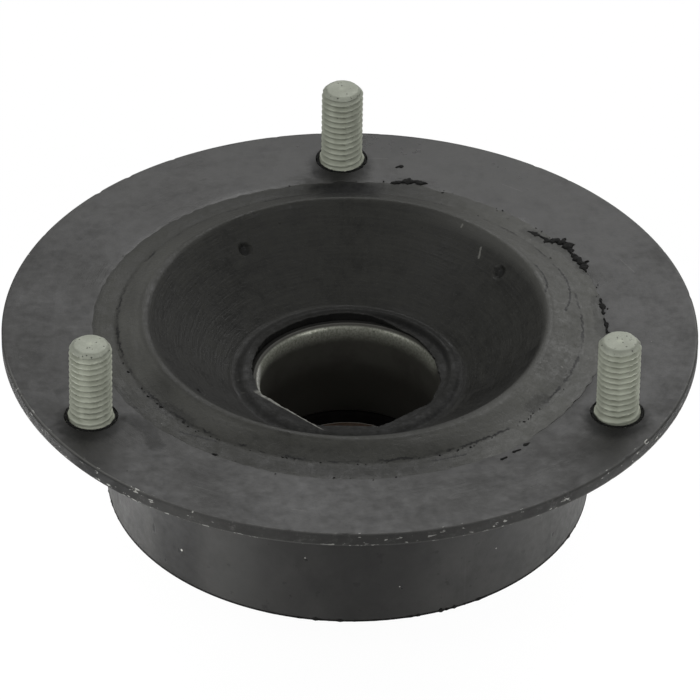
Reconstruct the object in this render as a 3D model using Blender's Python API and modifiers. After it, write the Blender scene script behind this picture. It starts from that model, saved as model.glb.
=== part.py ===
"""Top mount of a front suspension leg: a flanged steel shell with three studs, a bonded rubber
cushion with a bowl in its top, and a steel cup that holds the ball bearing of the damper rod.

All sizes are metres, +Z is up, and the origin is on the axis at the lowest face of the cup.
Depths are measured down from the top face of the flange.
"""

import math

import bmesh
import bpy
from mathutils import Matrix, Vector

# Clearance that two touching pieces keep, and the one that the rolling pieces keep
GAP = 0.0003
RACE_GAP = 0.0002

# Shell: one pressing of flange, bend and skirt
SHEET = 0.0026
SKIRT_RADIUS = 0.0461
SKIRT_DEPTH = 0.0351
FLANGE_WIDTH = 0.0199
BEND_RADIUS = 0.0032
EDGE_BREAK = 0.0004

# Studs, pressed in from below
STUD_COUNT = 3
FIRST_STUD_ANGLE = math.radians(90)
STUD_FROM_SKIRT = 0.0106
THREAD_RADIUS = 0.0040
STUD_REACH = 0.0164
STUD_CHAMFER = 0.0010
COLLAR_RADIUS = 0.0044
COLLAR_HEIGHT = 0.0012
SPLINE_TEETH = 18
SPLINE_HEIGHT = 0.0004
HEAD_RADIUS = 0.0060
HEAD_THICKNESS = 0.0026

# Ball bearing of the damper rod
BEARING_BORE = 0.0100
BEARING_RADIUS = 0.0210
BEARING_WIDTH = 0.0120
BEARING_DEPTH = 0.0323
BEARING_CORNER = 0.0006
BALL_COUNT = 9
BALL_FILL = 0.5773
GROOVE_HALF_ANGLE = math.radians(57.8)
SEAL_THICKNESS = 0.0010
SEAL_RECESS = 0.0002
SEAL_SEAT = 0.0009
CAGE_CLEARANCE = 0.0004
CAGE_FLOOR = 0.0009
CAGE_HORN_ANGLE = math.radians(34.5)

# Cup that holds the bearing
WELL_RADIUS = 0.0170
WELL_STEP_DEPTH = 0.0236
WELL_STEP_HEIGHT = 0.0005
RIM_DEPTH = 0.0121
RIM_LEAD_WIDTH = 0.0010
RIM_LEAD_HEIGHT = 0.0020
CUP_WALL = 0.0022
CUP_BEND = 0.0018
CRIMP_THICKNESS = 0.0012
CRIMP_WIDTH = 0.0022

# Rubber cushion
FILM_SETBACK = 0.0002
FILM_THICKNESS = 0.0004
CREASE_FROM_SKIRT = 0.0007
CREST_FROM_SKIRT = 0.0050
CREST_HEIGHT = 0.00255
CREST_ROUND = 0.0035
CREST_INNER_ANGLE = 135
CREST_OUTER_ANGLE = 65
BOWL_SAG = 0.0004
GROOVE_WIDTH = 0.0018
GROOVE_DEPTH = 0.0010
RIDGE_WIDTH = 0.0010
RIDGE_HEIGHT = 0.0003
TRENCH_WIDTH = 0.0009
TRENCH_DEPTH = 0.0015
LIP_WALL = 0.0010
LIP_THICKNESS = 0.0007
CAVITY_ROOF = 0.0175
CAVITY_ARCH = 0.0075
CAVITY_DRAFT = 0.0010
SKIRT_LINING = 0.0022
CUP_LINING = 0.0018
LINING_INSET = 0.0006
CUP_BARE_HEIGHT = 0.0073
DIMPLE_RADIUS = 0.0013
DIMPLE_DEPTH = 0.0006
DIMPLE_INSET = 0.0044
DIMPLE_ANGLES = tuple(math.radians(degrees) for degrees in (124.5, 34.5, 214.5, 304.5))

# The lip's hand-trimmed edge: the direction of each straight cut, and how far it stands in over
# the well's wall. A negative value is a cut that stops short of the wall. Where no cut runs, the
# lip is trimmed away and the rim lies bare behind an open trench.
LIP_CUTS = (
    (math.radians(-135.6), 0.0011),
    (math.radians(-92.2), 0.0016),
    (math.radians(-52.1), 0.0012),
    (math.radians(-18.7), -0.0003),
    (math.radians(3.0), -0.0004),
    (math.radians(45.0), -0.0015),
    (math.radians(75.0), -0.0023),
)

# Fineness of the round surfaces; the counts of the large pieces are multiples of four
SHELL_STEPS = 80
RUBBER_STEPS = 60
CUP_STEPS = 36
STUD_STEPS = 20
BALL_STEPS = 12
BALL_RINGS = 6
POCKET_STEPS = 14
POCKET_RINGS = 8
CAGE_STEPS = 3 * BALL_COUNT
BEND_STEPS = 3
GROOVE_STEPS = 4

# Sizes that follow from the ones above
SKIRT_BORE = SKIRT_RADIUS - SHEET
BEND_CENTRE_RADIUS = SKIRT_RADIUS + BEND_RADIUS
BEND_CENTRE_DEPTH = SHEET + BEND_RADIUS
FLANGE_RADIUS = SKIRT_RADIUS + FLANGE_WIDTH
STUD_CIRCLE = SKIRT_RADIUS + STUD_FROM_SKIRT
SPLINE_RADIUS = COLLAR_RADIUS + SPLINE_HEIGHT
STUD_HOLE = SPLINE_RADIUS + GAP
PITCH_RADIUS = (BEARING_BORE + BEARING_RADIUS) / 2
SEAL_REACH = SEAL_RECESS + SEAL_THICKNESS
# A ball takes its share of the room between bore and outside, or what the seals and the cage
# leave it in the bearing's width, whichever is less.
BALL_RADIUS = min(
    BALL_FILL * (BEARING_RADIUS - BEARING_BORE) / 2,
    BEARING_WIDTH / 2 - SEAL_REACH - CAGE_CLEARANCE - CAGE_FLOOR - GAP,
)
RACE_RADIUS = BALL_RADIUS + RACE_GAP
LAND_OFFSET = RACE_RADIUS * math.cos(GROOVE_HALF_ANGLE)
INNER_LAND = PITCH_RADIUS - LAND_OFFSET
OUTER_LAND = PITCH_RADIUS + LAND_OFFSET
SEAT_OPENING = OUTER_LAND + RACE_GAP
BEARING_MIDDLE_DEPTH = BEARING_DEPTH + BEARING_WIDTH / 2
SEAT_DEPTH = BEARING_DEPTH - GAP
POCKET_RADIUS = BEARING_RADIUS + GAP
POCKET_DEPTH = BEARING_DEPTH + BEARING_WIDTH + GAP
CUP_DEPTH = POCKET_DEPTH + CRIMP_THICKNESS
CUP_RADIUS = POCKET_RADIUS + CUP_WALL
TUBE_RADIUS = WELL_RADIUS + CUP_WALL
SHOULDER_DEPTH = SEAT_DEPTH - CUP_WALL
RUBBER_RADIUS = SKIRT_BORE - GAP
LIP_RADIUS = TUBE_RADIUS + GAP + LIP_WALL
LIP_UNDERSIDE = RIM_DEPTH - GAP
LIP_TOP = LIP_UNDERSIDE - LIP_THICKNESS
TRENCH_RADIUS = TUBE_RADIUS + GAP + TRENCH_WIDTH
TRENCH_FLOOR = LIP_UNDERSIDE + TRENCH_DEPTH
RIDGE_RADIUS = LIP_RADIUS + RIDGE_WIDTH
GROOVE_RADIUS = RIDGE_RADIUS + GROOVE_WIDTH
CREST_RADIUS = SKIRT_BORE - CREST_FROM_SKIRT
DIMPLE_CIRCLE = CREST_RADIUS - DIMPLE_INSET
FLANGE_HEIGHT = CUP_DEPTH


def clear_scene():
    """Removes every object, so that the script can be run again in the same file."""
    for obj in list(bpy.data.objects):
        bpy.data.objects.remove(obj, do_unlink=True)


def new_collection(name):
    """A collection of the scene for one group of objects."""
    collection = bpy.data.collections.new(name)
    bpy.context.scene.collection.children.link(collection)
    return collection


def principled(name, colour, roughness, metallic):
    """A plain finish of one colour for one piece."""
    material = bpy.data.materials.new(name)
    material.use_nodes = True
    shader = material.node_tree.nodes["Principled BSDF"]
    shader.inputs["Base Color"].default_value = (*colour, 1.0)
    shader.inputs["Roughness"].default_value = roughness
    shader.inputs["Metallic"].default_value = metallic
    return material


def arc(centre_x, centre_z, radius_x, radius_z, start, end, steps):
    """Points along an arc of an ellipse, from one angle in degrees to another, both ends in."""
    turns = [math.radians(start + (end - start) * step / steps) for step in range(steps + 1)]
    return [(centre_x + radius_x * math.cos(t), centre_z + radius_z * math.sin(t)) for t in turns]


def bow(start, end, sag, steps):
    """Points strictly between two ends, along a shallow curve that hangs below the chord."""
    points = []
    for step in range(1, steps):
        t = step / steps
        drop = 4 * sag * t * (1 - t)
        x = start[0] + (end[0] - start[0]) * t
        z = start[1] + (end[1] - start[1]) * t
        points.append((x, z - drop))
    return points


def place(obj, collection, material, height=FLANGE_HEIGHT):
    """Puts an object in its collection, at its height above the base, with its material."""
    obj.data.materials.append(material)
    obj.location.z = height
    collection.objects.link(obj)
    return obj


def turned(name, profile, steps, closed=True):
    """A body of revolution about Z. The profile is (radius, height), down the outer side."""
    mesh = bpy.data.meshes.new(name)
    vertices = [(radius, 0.0, height) for radius, height in profile]
    edges = [(index, index + 1) for index in range(len(profile) - 1)]
    if closed:
        edges.append((len(profile) - 1, 0))
    mesh.from_pydata(vertices, edges, [])
    obj = bpy.data.objects.new(name, mesh)
    screw = obj.modifiers.new("Turn", "SCREW")
    screw.axis = "Z"
    screw.angle = 2 * math.pi
    screw.steps = steps
    screw.render_steps = steps
    screw.use_merge_vertices = True
    screw.merge_threshold = 0.00001
    screw.use_smooth_shade = True
    return obj


def cutter(name, mesh_builder, collection, height=FLANGE_HEIGHT):
    """A helper body that is cut away from another. It never shows."""
    mesh = bpy.data.meshes.new(name)
    shape = bmesh.new()
    mesh_builder(shape)
    bmesh.ops.recalc_face_normals(shape, faces=shape.faces)
    shape.to_mesh(mesh)
    shape.free()
    obj = bpy.data.objects.new(name, mesh)
    obj.location.z = height
    obj.hide_render = True
    obj.display_type = "WIRE"
    collection.objects.link(obj)
    return obj


def boolean(obj, other, operation):
    """Adds an exact Boolean of one body with another."""
    modifier = obj.modifiers.new(operation.title(), "BOOLEAN")
    modifier.operation = operation
    modifier.solver = "EXACT"
    modifier.object = other


def stud_angles():
    """Directions of the studs, evenly spaced."""
    return [FIRST_STUD_ANGLE + 2 * math.pi * index / STUD_COUNT for index in range(STUD_COUNT)]


def round_bar(shape, x, y, low, high, radius, steps):
    """Adds a capped upright cylinder between two heights to a mesh in the making."""
    at = Matrix.Translation((x, y, (low + high) / 2))
    bmesh.ops.create_cone(
        shape,
        cap_ends=True,
        segments=steps,
        radius1=radius,
        radius2=radius,
        depth=high - low,
        matrix=at,
    )


def shell_profile():
    """Section of the shell: flange edge, underside, bend, skirt, and the same bend inside."""
    outer_bend = arc(BEND_CENTRE_RADIUS, -BEND_CENTRE_DEPTH, BEND_RADIUS, BEND_RADIUS, 90, 180, BEND_STEPS)
    inner_radius = BEND_RADIUS + SHEET
    inner_bend = arc(BEND_CENTRE_RADIUS, -BEND_CENTRE_DEPTH, inner_radius, inner_radius, 180, 90, BEND_STEPS)
    return [
        (FLANGE_RADIUS - EDGE_BREAK, 0.0),
        (FLANGE_RADIUS, -EDGE_BREAK),
        (FLANGE_RADIUS, -SHEET + EDGE_BREAK),
        (FLANGE_RADIUS - EDGE_BREAK, -SHEET),
        *outer_bend,
        (SKIRT_RADIUS, -SKIRT_DEPTH),
        (SKIRT_BORE, -SKIRT_DEPTH),
        *inner_bend,
    ]


def stud_holes(shape):
    """The three holes of the flange."""
    for angle in stud_angles():
        x = STUD_CIRCLE * math.cos(angle)
        y = STUD_CIRCLE * math.sin(angle)
        round_bar(shape, x, y, -2 * SHEET, SHEET, STUD_HOLE, STUD_STEPS)


def build_shell(parts, cutters):
    """The pressed shell with its stud holes."""
    shell = turned("outer_shell", shell_profile(), SHELL_STEPS)
    place(shell, parts, principled("shell_black_paint", (0.085, 0.085, 0.08), 0.5, 0.2))
    boolean(shell, cutter("stud_hole_cutter", stud_holes, cutters), "DIFFERENCE")


def stud_profile():
    """Section of a stud from its tip to the bottom of its head, with both ends on the axis."""
    head_top = -SHEET - GAP
    head_bottom = head_top - HEAD_THICKNESS
    return [
        (0.0, STUD_REACH),
        (THREAD_RADIUS - STUD_CHAMFER, STUD_REACH),
        (THREAD_RADIUS, STUD_REACH - STUD_CHAMFER),
        (THREAD_RADIUS, COLLAR_HEIGHT),
        (COLLAR_RADIUS, COLLAR_HEIGHT - (COLLAR_RADIUS - THREAD_RADIUS)),
        (COLLAR_RADIUS, head_top),
        (HEAD_RADIUS, head_top),
        (HEAD_RADIUS, head_bottom + EDGE_BREAK),
        (HEAD_RADIUS - EDGE_BREAK, head_bottom),
        (0.0, head_bottom),
    ]


def spline_ring(shape):
    """The toothed part of a stud's shank: every second corner of a cylinder stands out."""
    # The teeth run a little into the head, so that the two bodies join in one.
    low = -SHEET - GAP - HEAD_THICKNESS / 4
    round_bar(shape, 0.0, 0.0, low, -EDGE_BREAK, SPLINE_RADIUS, 2 * SPLINE_TEETH)
    root = COLLAR_RADIUS - SPLINE_HEIGHT / 4
    for vertex in shape.verts:
        tooth = round(math.atan2(vertex.co.y, vertex.co.x) * SPLINE_TEETH / math.pi)
        if tooth % 2:
            vertex.co.xy = vertex.co.xy.normalized() * root


def build_studs(parts, cutters):
    """The three studs, each an object of its own on the stud circle."""
    names = ("stud_back", "stud_left", "stud_right")
    finish = principled("stud_plating", (0.31, 0.33, 0.27), 0.45, 0.7)
    for index, angle in enumerate(stud_angles()):
        name = names[index] if STUD_COUNT == len(names) else f"stud_{index + 1}"
        stud = turned(name, stud_profile(), STUD_STEPS, closed=False)
        place(stud, parts, finish)
        splines = cutter(f"{name}_splines", spline_ring, cutters)
        for obj in (stud, splines):
            obj.location.x = STUD_CIRCLE * math.cos(angle)
            obj.location.y = STUD_CIRCLE * math.sin(angle)
        boolean(stud, splines, "UNION")


def cup_profile():
    """Section of the cup: rim, tube, shoulder, bearing pocket and the crimp rolled in under it."""
    rim = -RIM_DEPTH
    bottom = -CUP_DEPTH
    crimp_radius = POCKET_RADIUS - CRIMP_WIDTH
    crimp_bend = arc(CUP_RADIUS - CUP_BEND, bottom + CUP_BEND, CUP_BEND, CUP_BEND, 0, -90, BEND_STEPS)
    lead_centre = (WELL_RADIUS + RIM_LEAD_WIDTH, rim - RIM_LEAD_HEIGHT)
    lead_in = arc(*lead_centre, RIM_LEAD_WIDTH, RIM_LEAD_HEIGHT, 180, 90, BEND_STEPS)
    return [
        (TUBE_RADIUS - EDGE_BREAK, rim),
        (TUBE_RADIUS, rim - EDGE_BREAK),
        (TUBE_RADIUS, -SHOULDER_DEPTH + CUP_BEND),
        (CUP_RADIUS - CUP_BEND, -SHOULDER_DEPTH),
        (CUP_RADIUS, -SHOULDER_DEPTH - CUP_BEND),
        *crimp_bend,
        (crimp_radius, bottom),
        (crimp_radius, -POCKET_DEPTH),
        (POCKET_RADIUS, -POCKET_DEPTH),
        (POCKET_RADIUS, -SEAT_DEPTH),
        (SEAT_OPENING, -SEAT_DEPTH),
        (SEAT_OPENING, -WELL_STEP_DEPTH - WELL_STEP_HEIGHT),
        (WELL_RADIUS, -WELL_STEP_DEPTH),
        *lead_in,
    ]


def build_cup(parts):
    """The steel cup in the middle."""
    cup = turned("bearing_cup", cup_profile(), CUP_STEPS)
    place(cup, parts, principled("cup_steel", (0.16, 0.16, 0.13), 0.4, 0.8))


def bowl_surface():
    """Upper surface of the rubber from the groove, up the bowl and over the crest, to the film."""
    crest_centre = CREST_HEIGHT - CREST_ROUND
    angles = (CREST_INNER_ANGLE, CREST_OUTER_ANGLE)
    crest = arc(CREST_RADIUS, crest_centre, CREST_ROUND, CREST_ROUND, *angles, 4)
    foot = (GROOVE_RADIUS, -LIP_TOP)
    film_top = GAP + FILM_THICKNESS
    return [
        foot,
        *bow(foot, crest[0], BOWL_SAG, 4),
        *crest,
        (SKIRT_BORE + CREASE_FROM_SKIRT, film_top),
        (BEND_CENTRE_RADIUS - FILM_SETBACK, film_top),
    ]


def rim_surface():
    """Upper surface of the rubber over the rim: the lip, a low ridge and a shallow groove."""
    web_edge = WELL_RADIUS - 2 * max(reach for _, reach in LIP_CUTS)
    ridge_middle = (LIP_RADIUS + RIDGE_RADIUS) / 2
    groove_middle = (RIDGE_RADIUS + GROOVE_RADIUS) / 2
    ridge = arc(ridge_middle, -LIP_TOP, RIDGE_WIDTH / 2, RIDGE_HEIGHT, 180, 0, 3)
    groove = arc(groove_middle, -LIP_TOP, GROOVE_WIDTH / 2, GROOVE_DEPTH, 180, 360, 3)
    return [(web_edge, -LIP_UNDERSIDE), (web_edge, -LIP_TOP), *ridge, *groove[1:-1]]


def cavity_surface():
    """Underside of the rubber: skirt lining, arched roof of the hollow, and lining of the cup."""
    outer = RUBBER_RADIUS - SKIRT_LINING
    inner = CUP_RADIUS + GAP + CUP_LINING
    middle = (outer + inner) / 2
    half_width = (outer - inner) / 2 - CAVITY_DRAFT
    roof = arc(middle, -CAVITY_ROOF - CAVITY_ARCH, half_width, CAVITY_ARCH, 0, 180, 5)
    lining_end = -CUP_DEPTH + CUP_BARE_HEIGHT
    return [
        (RUBBER_RADIUS, -SKIRT_DEPTH + LINING_INSET),
        (outer, -SKIRT_DEPTH + LINING_INSET),
        *roof,
        (inner, lining_end),
        (CUP_RADIUS + GAP, lining_end),
    ]


def rubber_profile():
    """Closed section of the rubber, from the film's edge round by the underside to the bowl."""
    bend = BEND_RADIUS + SHEET + GAP
    film_edge = 90 + math.degrees(math.asin(FILM_SETBACK / bend))
    return [
        *arc(BEND_CENTRE_RADIUS, -BEND_CENTRE_DEPTH, bend, bend, film_edge, 180, BEND_STEPS),
        *cavity_surface(),
        (CUP_RADIUS + GAP, -SHOULDER_DEPTH - CUP_BEND + GAP),
        (CUP_RADIUS - CUP_BEND + GAP, -SHOULDER_DEPTH + GAP),
        (TUBE_RADIUS + GAP, -SHOULDER_DEPTH + CUP_BEND + GAP),
        (TUBE_RADIUS + GAP, -LIP_UNDERSIDE),
        *rim_surface(),
        *bowl_surface(),
    ]


def lip_plug(shape):
    """The opening in the lip and the trench behind the bare rim: a plug that the cuts trim flat."""
    high = -LIP_TOP + LIP_THICKNESS
    round_bar(shape, 0.0, 0.0, -TRENCH_FLOOR, high, TRENCH_RADIUS, RUBBER_STEPS)
    for angle, reach in LIP_CUTS:
        outward = Vector((math.cos(angle), math.sin(angle), 0.0))
        bmesh.ops.bisect_plane(
            shape,
            geom=[*shape.verts, *shape.edges, *shape.faces],
            plane_co=outward * (WELL_RADIUS - reach),
            plane_no=outward,
            clear_outer=True,
        )
        bmesh.ops.holes_fill(shape, edges=[edge for edge in shape.edges if edge.is_boundary])


def bowl_wall_at(radius):
    """Height and slope, as an angle, of the bowl's surface at a radius, read along its section."""
    points = bowl_surface()
    below = max(index for index, point in enumerate(points[:-1]) if point[0] <= radius)
    (x0, z0), (x1, z1) = points[below], points[below + 1]
    slope = (z1 - z0) / (x1 - x0)
    return z0 + slope * (radius - x0), math.atan(slope)


def dimple_pins(shape):
    """The marks that the four locating pins of the mould leave, square to the bowl's wall."""
    height, slope = bowl_wall_at(DIMPLE_CIRCLE)
    for angle in DIMPLE_ANGLES:
        turn = Matrix.Rotation(angle, 4, "Z") @ Matrix.Translation((DIMPLE_CIRCLE, 0.0, height))
        bmesh.ops.create_cone(
            shape,
            cap_ends=True,
            segments=BALL_STEPS,
            radius1=DIMPLE_RADIUS,
            radius2=DIMPLE_RADIUS,
            depth=2 * DIMPLE_DEPTH,
            matrix=turn @ Matrix.Rotation(-slope, 4, "Y"),
        )


def build_rubber(parts, cutters):
    """The bonded cushion, one moulding from the film on the flange to the lip over the rim."""
    rubber = turned("rubber_body", rubber_profile(), RUBBER_STEPS)
    place(rubber, parts, principled("black_rubber", (0.03, 0.03, 0.028), 0.6, 0.0))
    boolean(rubber, cutter("lip_cutter", lip_plug, cutters), "DIFFERENCE")
    boolean(rubber, cutter("dimple_cutter", dimple_pins, cutters), "DIFFERENCE")


def race_arc(land_radius, direction):
    """Raceway groove of a ring, an arc about the ball's centre between the edges of its land.

    It runs upwards where direction is +1 and downwards where it is -1.
    """
    outside = land_radius > PITCH_RADIUS
    half_opening = math.degrees(GROOVE_HALF_ANGLE)
    low = -half_opening if outside else 180 + half_opening
    high = half_opening if outside else 180 - half_opening
    groove = arc(PITCH_RADIUS, 0.0, RACE_RADIUS, RACE_RADIUS, low, high, GROOVE_STEPS)
    return groove[::direction]


def outer_ring_profile():
    """Section of the outer ring about the middle of the bearing, with a seat for each seal."""
    half = BEARING_WIDTH / 2
    seal_radius = OUTER_LAND + SEAL_SEAT
    seat = half - SEAL_RECESS - SEAL_THICKNESS - GAP
    return [
        (BEARING_RADIUS - BEARING_CORNER, half),
        (BEARING_RADIUS, half - BEARING_CORNER),
        (BEARING_RADIUS, -half + BEARING_CORNER),
        (BEARING_RADIUS - BEARING_CORNER, -half),
        (seal_radius, -half),
        (seal_radius, -seat),
        (OUTER_LAND, -seat),
        *race_arc(OUTER_LAND, 1),
        (OUTER_LAND, seat),
        (seal_radius, seat),
        (seal_radius, half),
    ]


def inner_ring_profile():
    """Section of the inner ring about the middle of the bearing."""
    half = BEARING_WIDTH / 2
    return [
        (INNER_LAND - BEARING_CORNER / 2, half),
        (INNER_LAND, half - BEARING_CORNER / 2),
        *race_arc(INNER_LAND, -1),
        (INNER_LAND, -half + BEARING_CORNER / 2),
        (INNER_LAND - BEARING_CORNER / 2, -half),
        (BEARING_BORE + BEARING_CORNER, -half),
        (BEARING_BORE, -half + BEARING_CORNER),
        (BEARING_BORE, half - BEARING_CORNER),
        (BEARING_BORE + BEARING_CORNER, half),
    ]


def seal_profile(side):
    """Section of a seal on one side of the bearing, +1 above and -1 below."""
    outer = OUTER_LAND + SEAL_SEAT - GAP
    inner = INNER_LAND + GAP
    outside = side * (BEARING_WIDTH / 2 - SEAL_RECESS)
    inside = outside - side * SEAL_THICKNESS
    high = max(outside, inside)
    low = min(outside, inside)
    return [(outer, high), (outer, low), (inner, low), (inner, high)]


def ball_angles():
    """Directions of the balls, evenly spaced."""
    return [2 * math.pi * (index + 0.5) / BALL_COUNT for index in range(BALL_COUNT)]


def ball_pockets(shape):
    """The spherical pockets of the cage."""
    radius = BALL_RADIUS + GAP
    for angle in ball_angles():
        at = Matrix.Translation((PITCH_RADIUS * math.cos(angle), PITCH_RADIUS * math.sin(angle), 0.0))
        bmesh.ops.create_uvsphere(
            shape, u_segments=POCKET_STEPS, v_segments=POCKET_RINGS, radius=radius, matrix=at
        )


def build_cage(parts, cutters, axis, height):
    """The moulded cage: a ring under the balls with open pockets that hold them apart."""
    inner = INNER_LAND + CAGE_CLEARANCE
    outer = OUTER_LAND - CAGE_CLEARANCE
    low = -BALL_RADIUS - GAP - CAGE_FLOOR
    high = BALL_RADIUS * math.sin(CAGE_HORN_ANGLE)
    profile = [(outer, high), (outer, low), (inner, low), (inner, high)]
    cage = turned("ball_cage", profile, CAGE_STEPS)
    place(cage, parts, principled("cage_polyamide", (0.22, 0.17, 0.1), 0.5, 0.0), 0.0)
    pockets = cutter("pocket_cutter", ball_pockets, cutters, 0.0)
    boolean(cage, pockets, "DIFFERENCE")
    for obj in (cage, pockets):
        obj.parent = axis
    axis.location.z = height


def build_balls(parts, axis):
    """The balls, each on the pitch circle and all sharing one mesh."""
    mesh = bpy.data.meshes.new("bearing_ball")
    shape = bmesh.new()
    bmesh.ops.create_uvsphere(shape, u_segments=BALL_STEPS, v_segments=BALL_RINGS, radius=BALL_RADIUS)
    shape.to_mesh(mesh)
    shape.free()
    mesh.shade_smooth()
    mesh.materials.append(principled("ball_steel", (0.6, 0.6, 0.6), 0.12, 1.0))
    for index, angle in enumerate(ball_angles()):
        ball = bpy.data.objects.new(f"ball_{index + 1}", mesh)
        ball.location = (PITCH_RADIUS * math.cos(angle), PITCH_RADIUS * math.sin(angle), 0.0)
        ball.parent = axis
        parts.objects.link(ball)


def build_bearing(parts, cutters):
    """The deep groove ball bearing: two rings, two seals, the cage and its balls."""
    height = FLANGE_HEIGHT - BEARING_MIDDLE_DEPTH
    steel = principled("ring_steel", (0.42, 0.38, 0.33), 0.25, 1.0)
    place(turned("bearing_outer_ring", outer_ring_profile(), CUP_STEPS), parts, steel, height)
    place(turned("bearing_inner_ring", inner_ring_profile(), CUP_STEPS), parts, steel, height)
    seal = principled("seal_rubber", (0.02, 0.02, 0.02), 0.6, 0.0)
    place(turned("upper_seal", seal_profile(1), CUP_STEPS), parts, seal, height)
    place(turned("lower_seal", seal_profile(-1), CUP_STEPS), parts, seal, height)
    axis = bpy.data.objects.new("ball_set_axis", None)
    parts.objects.link(axis)
    build_cage(parts, cutters, axis, height)
    build_balls(parts, axis)


def main():
    clear_scene()
    parts = new_collection("strut_mount")
    cutters = new_collection("cutters")
    build_shell(parts, cutters)
    build_studs(parts, cutters)
    build_rubber(parts, cutters)
    build_cup(parts)
    build_bearing(parts, cutters)


if __name__ == "__main__":
    main()
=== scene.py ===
"""Looks of a strut mount: its painted shell, plated studs, moulded rubber, steel cup and bearing.

Every size is in metres in the part's own frame: +Z up, the axis through the origin. Heights of the
dressed pieces are measured from the top face of the flange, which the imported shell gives.
"""

import logging
import math
from dataclasses import dataclass, field
from enum import Enum
from typing import Sequence, Union

import bpy
import numpy as np
from mathutils import Matrix, Vector


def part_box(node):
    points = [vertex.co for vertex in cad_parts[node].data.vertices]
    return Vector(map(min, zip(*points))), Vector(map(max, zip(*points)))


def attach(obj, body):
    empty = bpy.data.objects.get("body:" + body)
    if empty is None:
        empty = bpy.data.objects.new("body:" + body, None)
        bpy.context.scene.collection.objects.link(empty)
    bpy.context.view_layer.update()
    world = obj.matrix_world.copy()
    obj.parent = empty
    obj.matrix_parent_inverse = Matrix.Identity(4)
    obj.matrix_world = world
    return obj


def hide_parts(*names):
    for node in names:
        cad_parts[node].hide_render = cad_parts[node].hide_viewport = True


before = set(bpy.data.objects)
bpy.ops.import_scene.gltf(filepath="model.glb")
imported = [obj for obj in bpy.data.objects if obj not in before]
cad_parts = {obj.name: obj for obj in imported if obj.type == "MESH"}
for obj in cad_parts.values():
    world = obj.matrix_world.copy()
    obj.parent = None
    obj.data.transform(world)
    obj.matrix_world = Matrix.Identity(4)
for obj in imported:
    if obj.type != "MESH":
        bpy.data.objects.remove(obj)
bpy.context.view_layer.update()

Array = np.ndarray
Arrays = tuple[Array, Array, Array]
Number = Union[int, float, "Reading"]
Colour = tuple[float, float, float]
Point = tuple[float, float]
Path = tuple[Point, ...]
Band = tuple[float, float, float]
Mark = tuple[float, float, float, float]
Piece = bpy.types.Object
Material = bpy.types.Material
Socket = bpy.types.NodeSocket

TURN = 2.0 * math.pi
MM = 0.001
BODY = "mount"
log = logging.getLogger("strut_mount")


# Outlines and surfaces


class Outline:
    """A turned section: radius and height, drawn down its outer side, in metres."""

    def __init__(self, radius: float, height: float) -> None:
        """Starts the section.

        Args:
            radius: Radius of its first point.
            height: Height of its first point.
        """
        self.radii = np.array([radius])
        self.heights = np.array([height])
        self.names: dict[str, tuple[int, int]] = {}

    def _add(self, radii: Array, heights: Array, name: str) -> "Outline":
        """Appends points and keeps their range under a name.

        Args:
            radii: Radii of the points, the first of which is there already and is left out.
            heights: Their heights.
            name: Name of the stretch, or nothing.

        Returns:
            The same outline.
        """
        first = len(self.radii)
        self.radii = np.concatenate([self.radii, radii[1:]])
        self.heights = np.concatenate([self.heights, heights[1:]])
        if name:
            self.names[name] = (first, len(self.radii))
        return self

    def line(self, radius: float, height: float, steps: int = 1, name: str = "") -> "Outline":
        """A straight stretch to a point.

        Args:
            radius: Radius of its end.
            height: Height of its end.
            steps: How many points it adds.
            name: Name of the stretch, if it is looked up later.

        Returns:
            The same outline.
        """
        radii = np.linspace(self.radii[-1], radius, steps + 1)
        return self._add(radii, np.linspace(self.heights[-1], height, steps + 1), name)

    def arc(self, centre: Point, radii: Union[float, Point], angles: Point, steps: int,
            name: str = "") -> "Outline":
        """A stretch of an ellipse: centre plus radii times the cosine and sine of the angle.

        Args:
            centre: Radius and height of the ellipse's centre.
            radii: Its two half axes, along the radius and along the height, or one radius for both.
            angles: First and last angle, in degrees.
            steps: How many points it adds.
            name: Name of the stretch.

        Returns:
            The same outline.
        """
        across, up = radii if isinstance(radii, tuple) else (radii, radii)
        turn = np.radians(np.linspace(*angles, steps + 1))
        return self._add(centre[0] + across * np.cos(turn), centre[1] + up * np.sin(turn), name)

    def bow(self, radius: float, height: float, sag: float, steps: int, name: str = "") -> "Outline":
        """A shallow curve to a point: the chord lowered by four sag t (1 - t).

        Args:
            radius: Radius of its end.
            height: Height of its end.
            sag: How far its middle hangs under the chord.
            steps: How many points it adds.
            name: Name of the stretch.

        Returns:
            The same outline.
        """
        t = np.linspace(0.0, 1.0, steps + 1)
        radii = self.radii[-1] + (radius - self.radii[-1]) * t
        heights = self.heights[-1] + (height - self.heights[-1]) * t - 4.0 * sag * t * (1.0 - t)
        return self._add(radii, heights, name)

    def reversed(self) -> "Outline":
        """The same section drawn the other way, without its names."""
        return Outline(self.radii[-1], self.heights[-1])._add(self.radii[::-1], self.heights[::-1], "")

    def stretch(self, name: str) -> slice:
        """The rows of a named stretch."""
        return slice(*self.names[name])

    def share(self, name: str) -> Array:
        """Share of the way along a stretch at each of its rows, up to 1, as a column."""
        first, last = self.names[name]
        return np.linspace(0.0, 1.0, last - first + 1)[1:, None]

    def arch(self, name: str) -> Array:
        """Half a sine wave along a stretch, 0 at its two end rows, as a column."""
        first, last = self.names[name]
        return np.sin(np.linspace(0.0, math.pi, last - first))[:, None]


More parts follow.
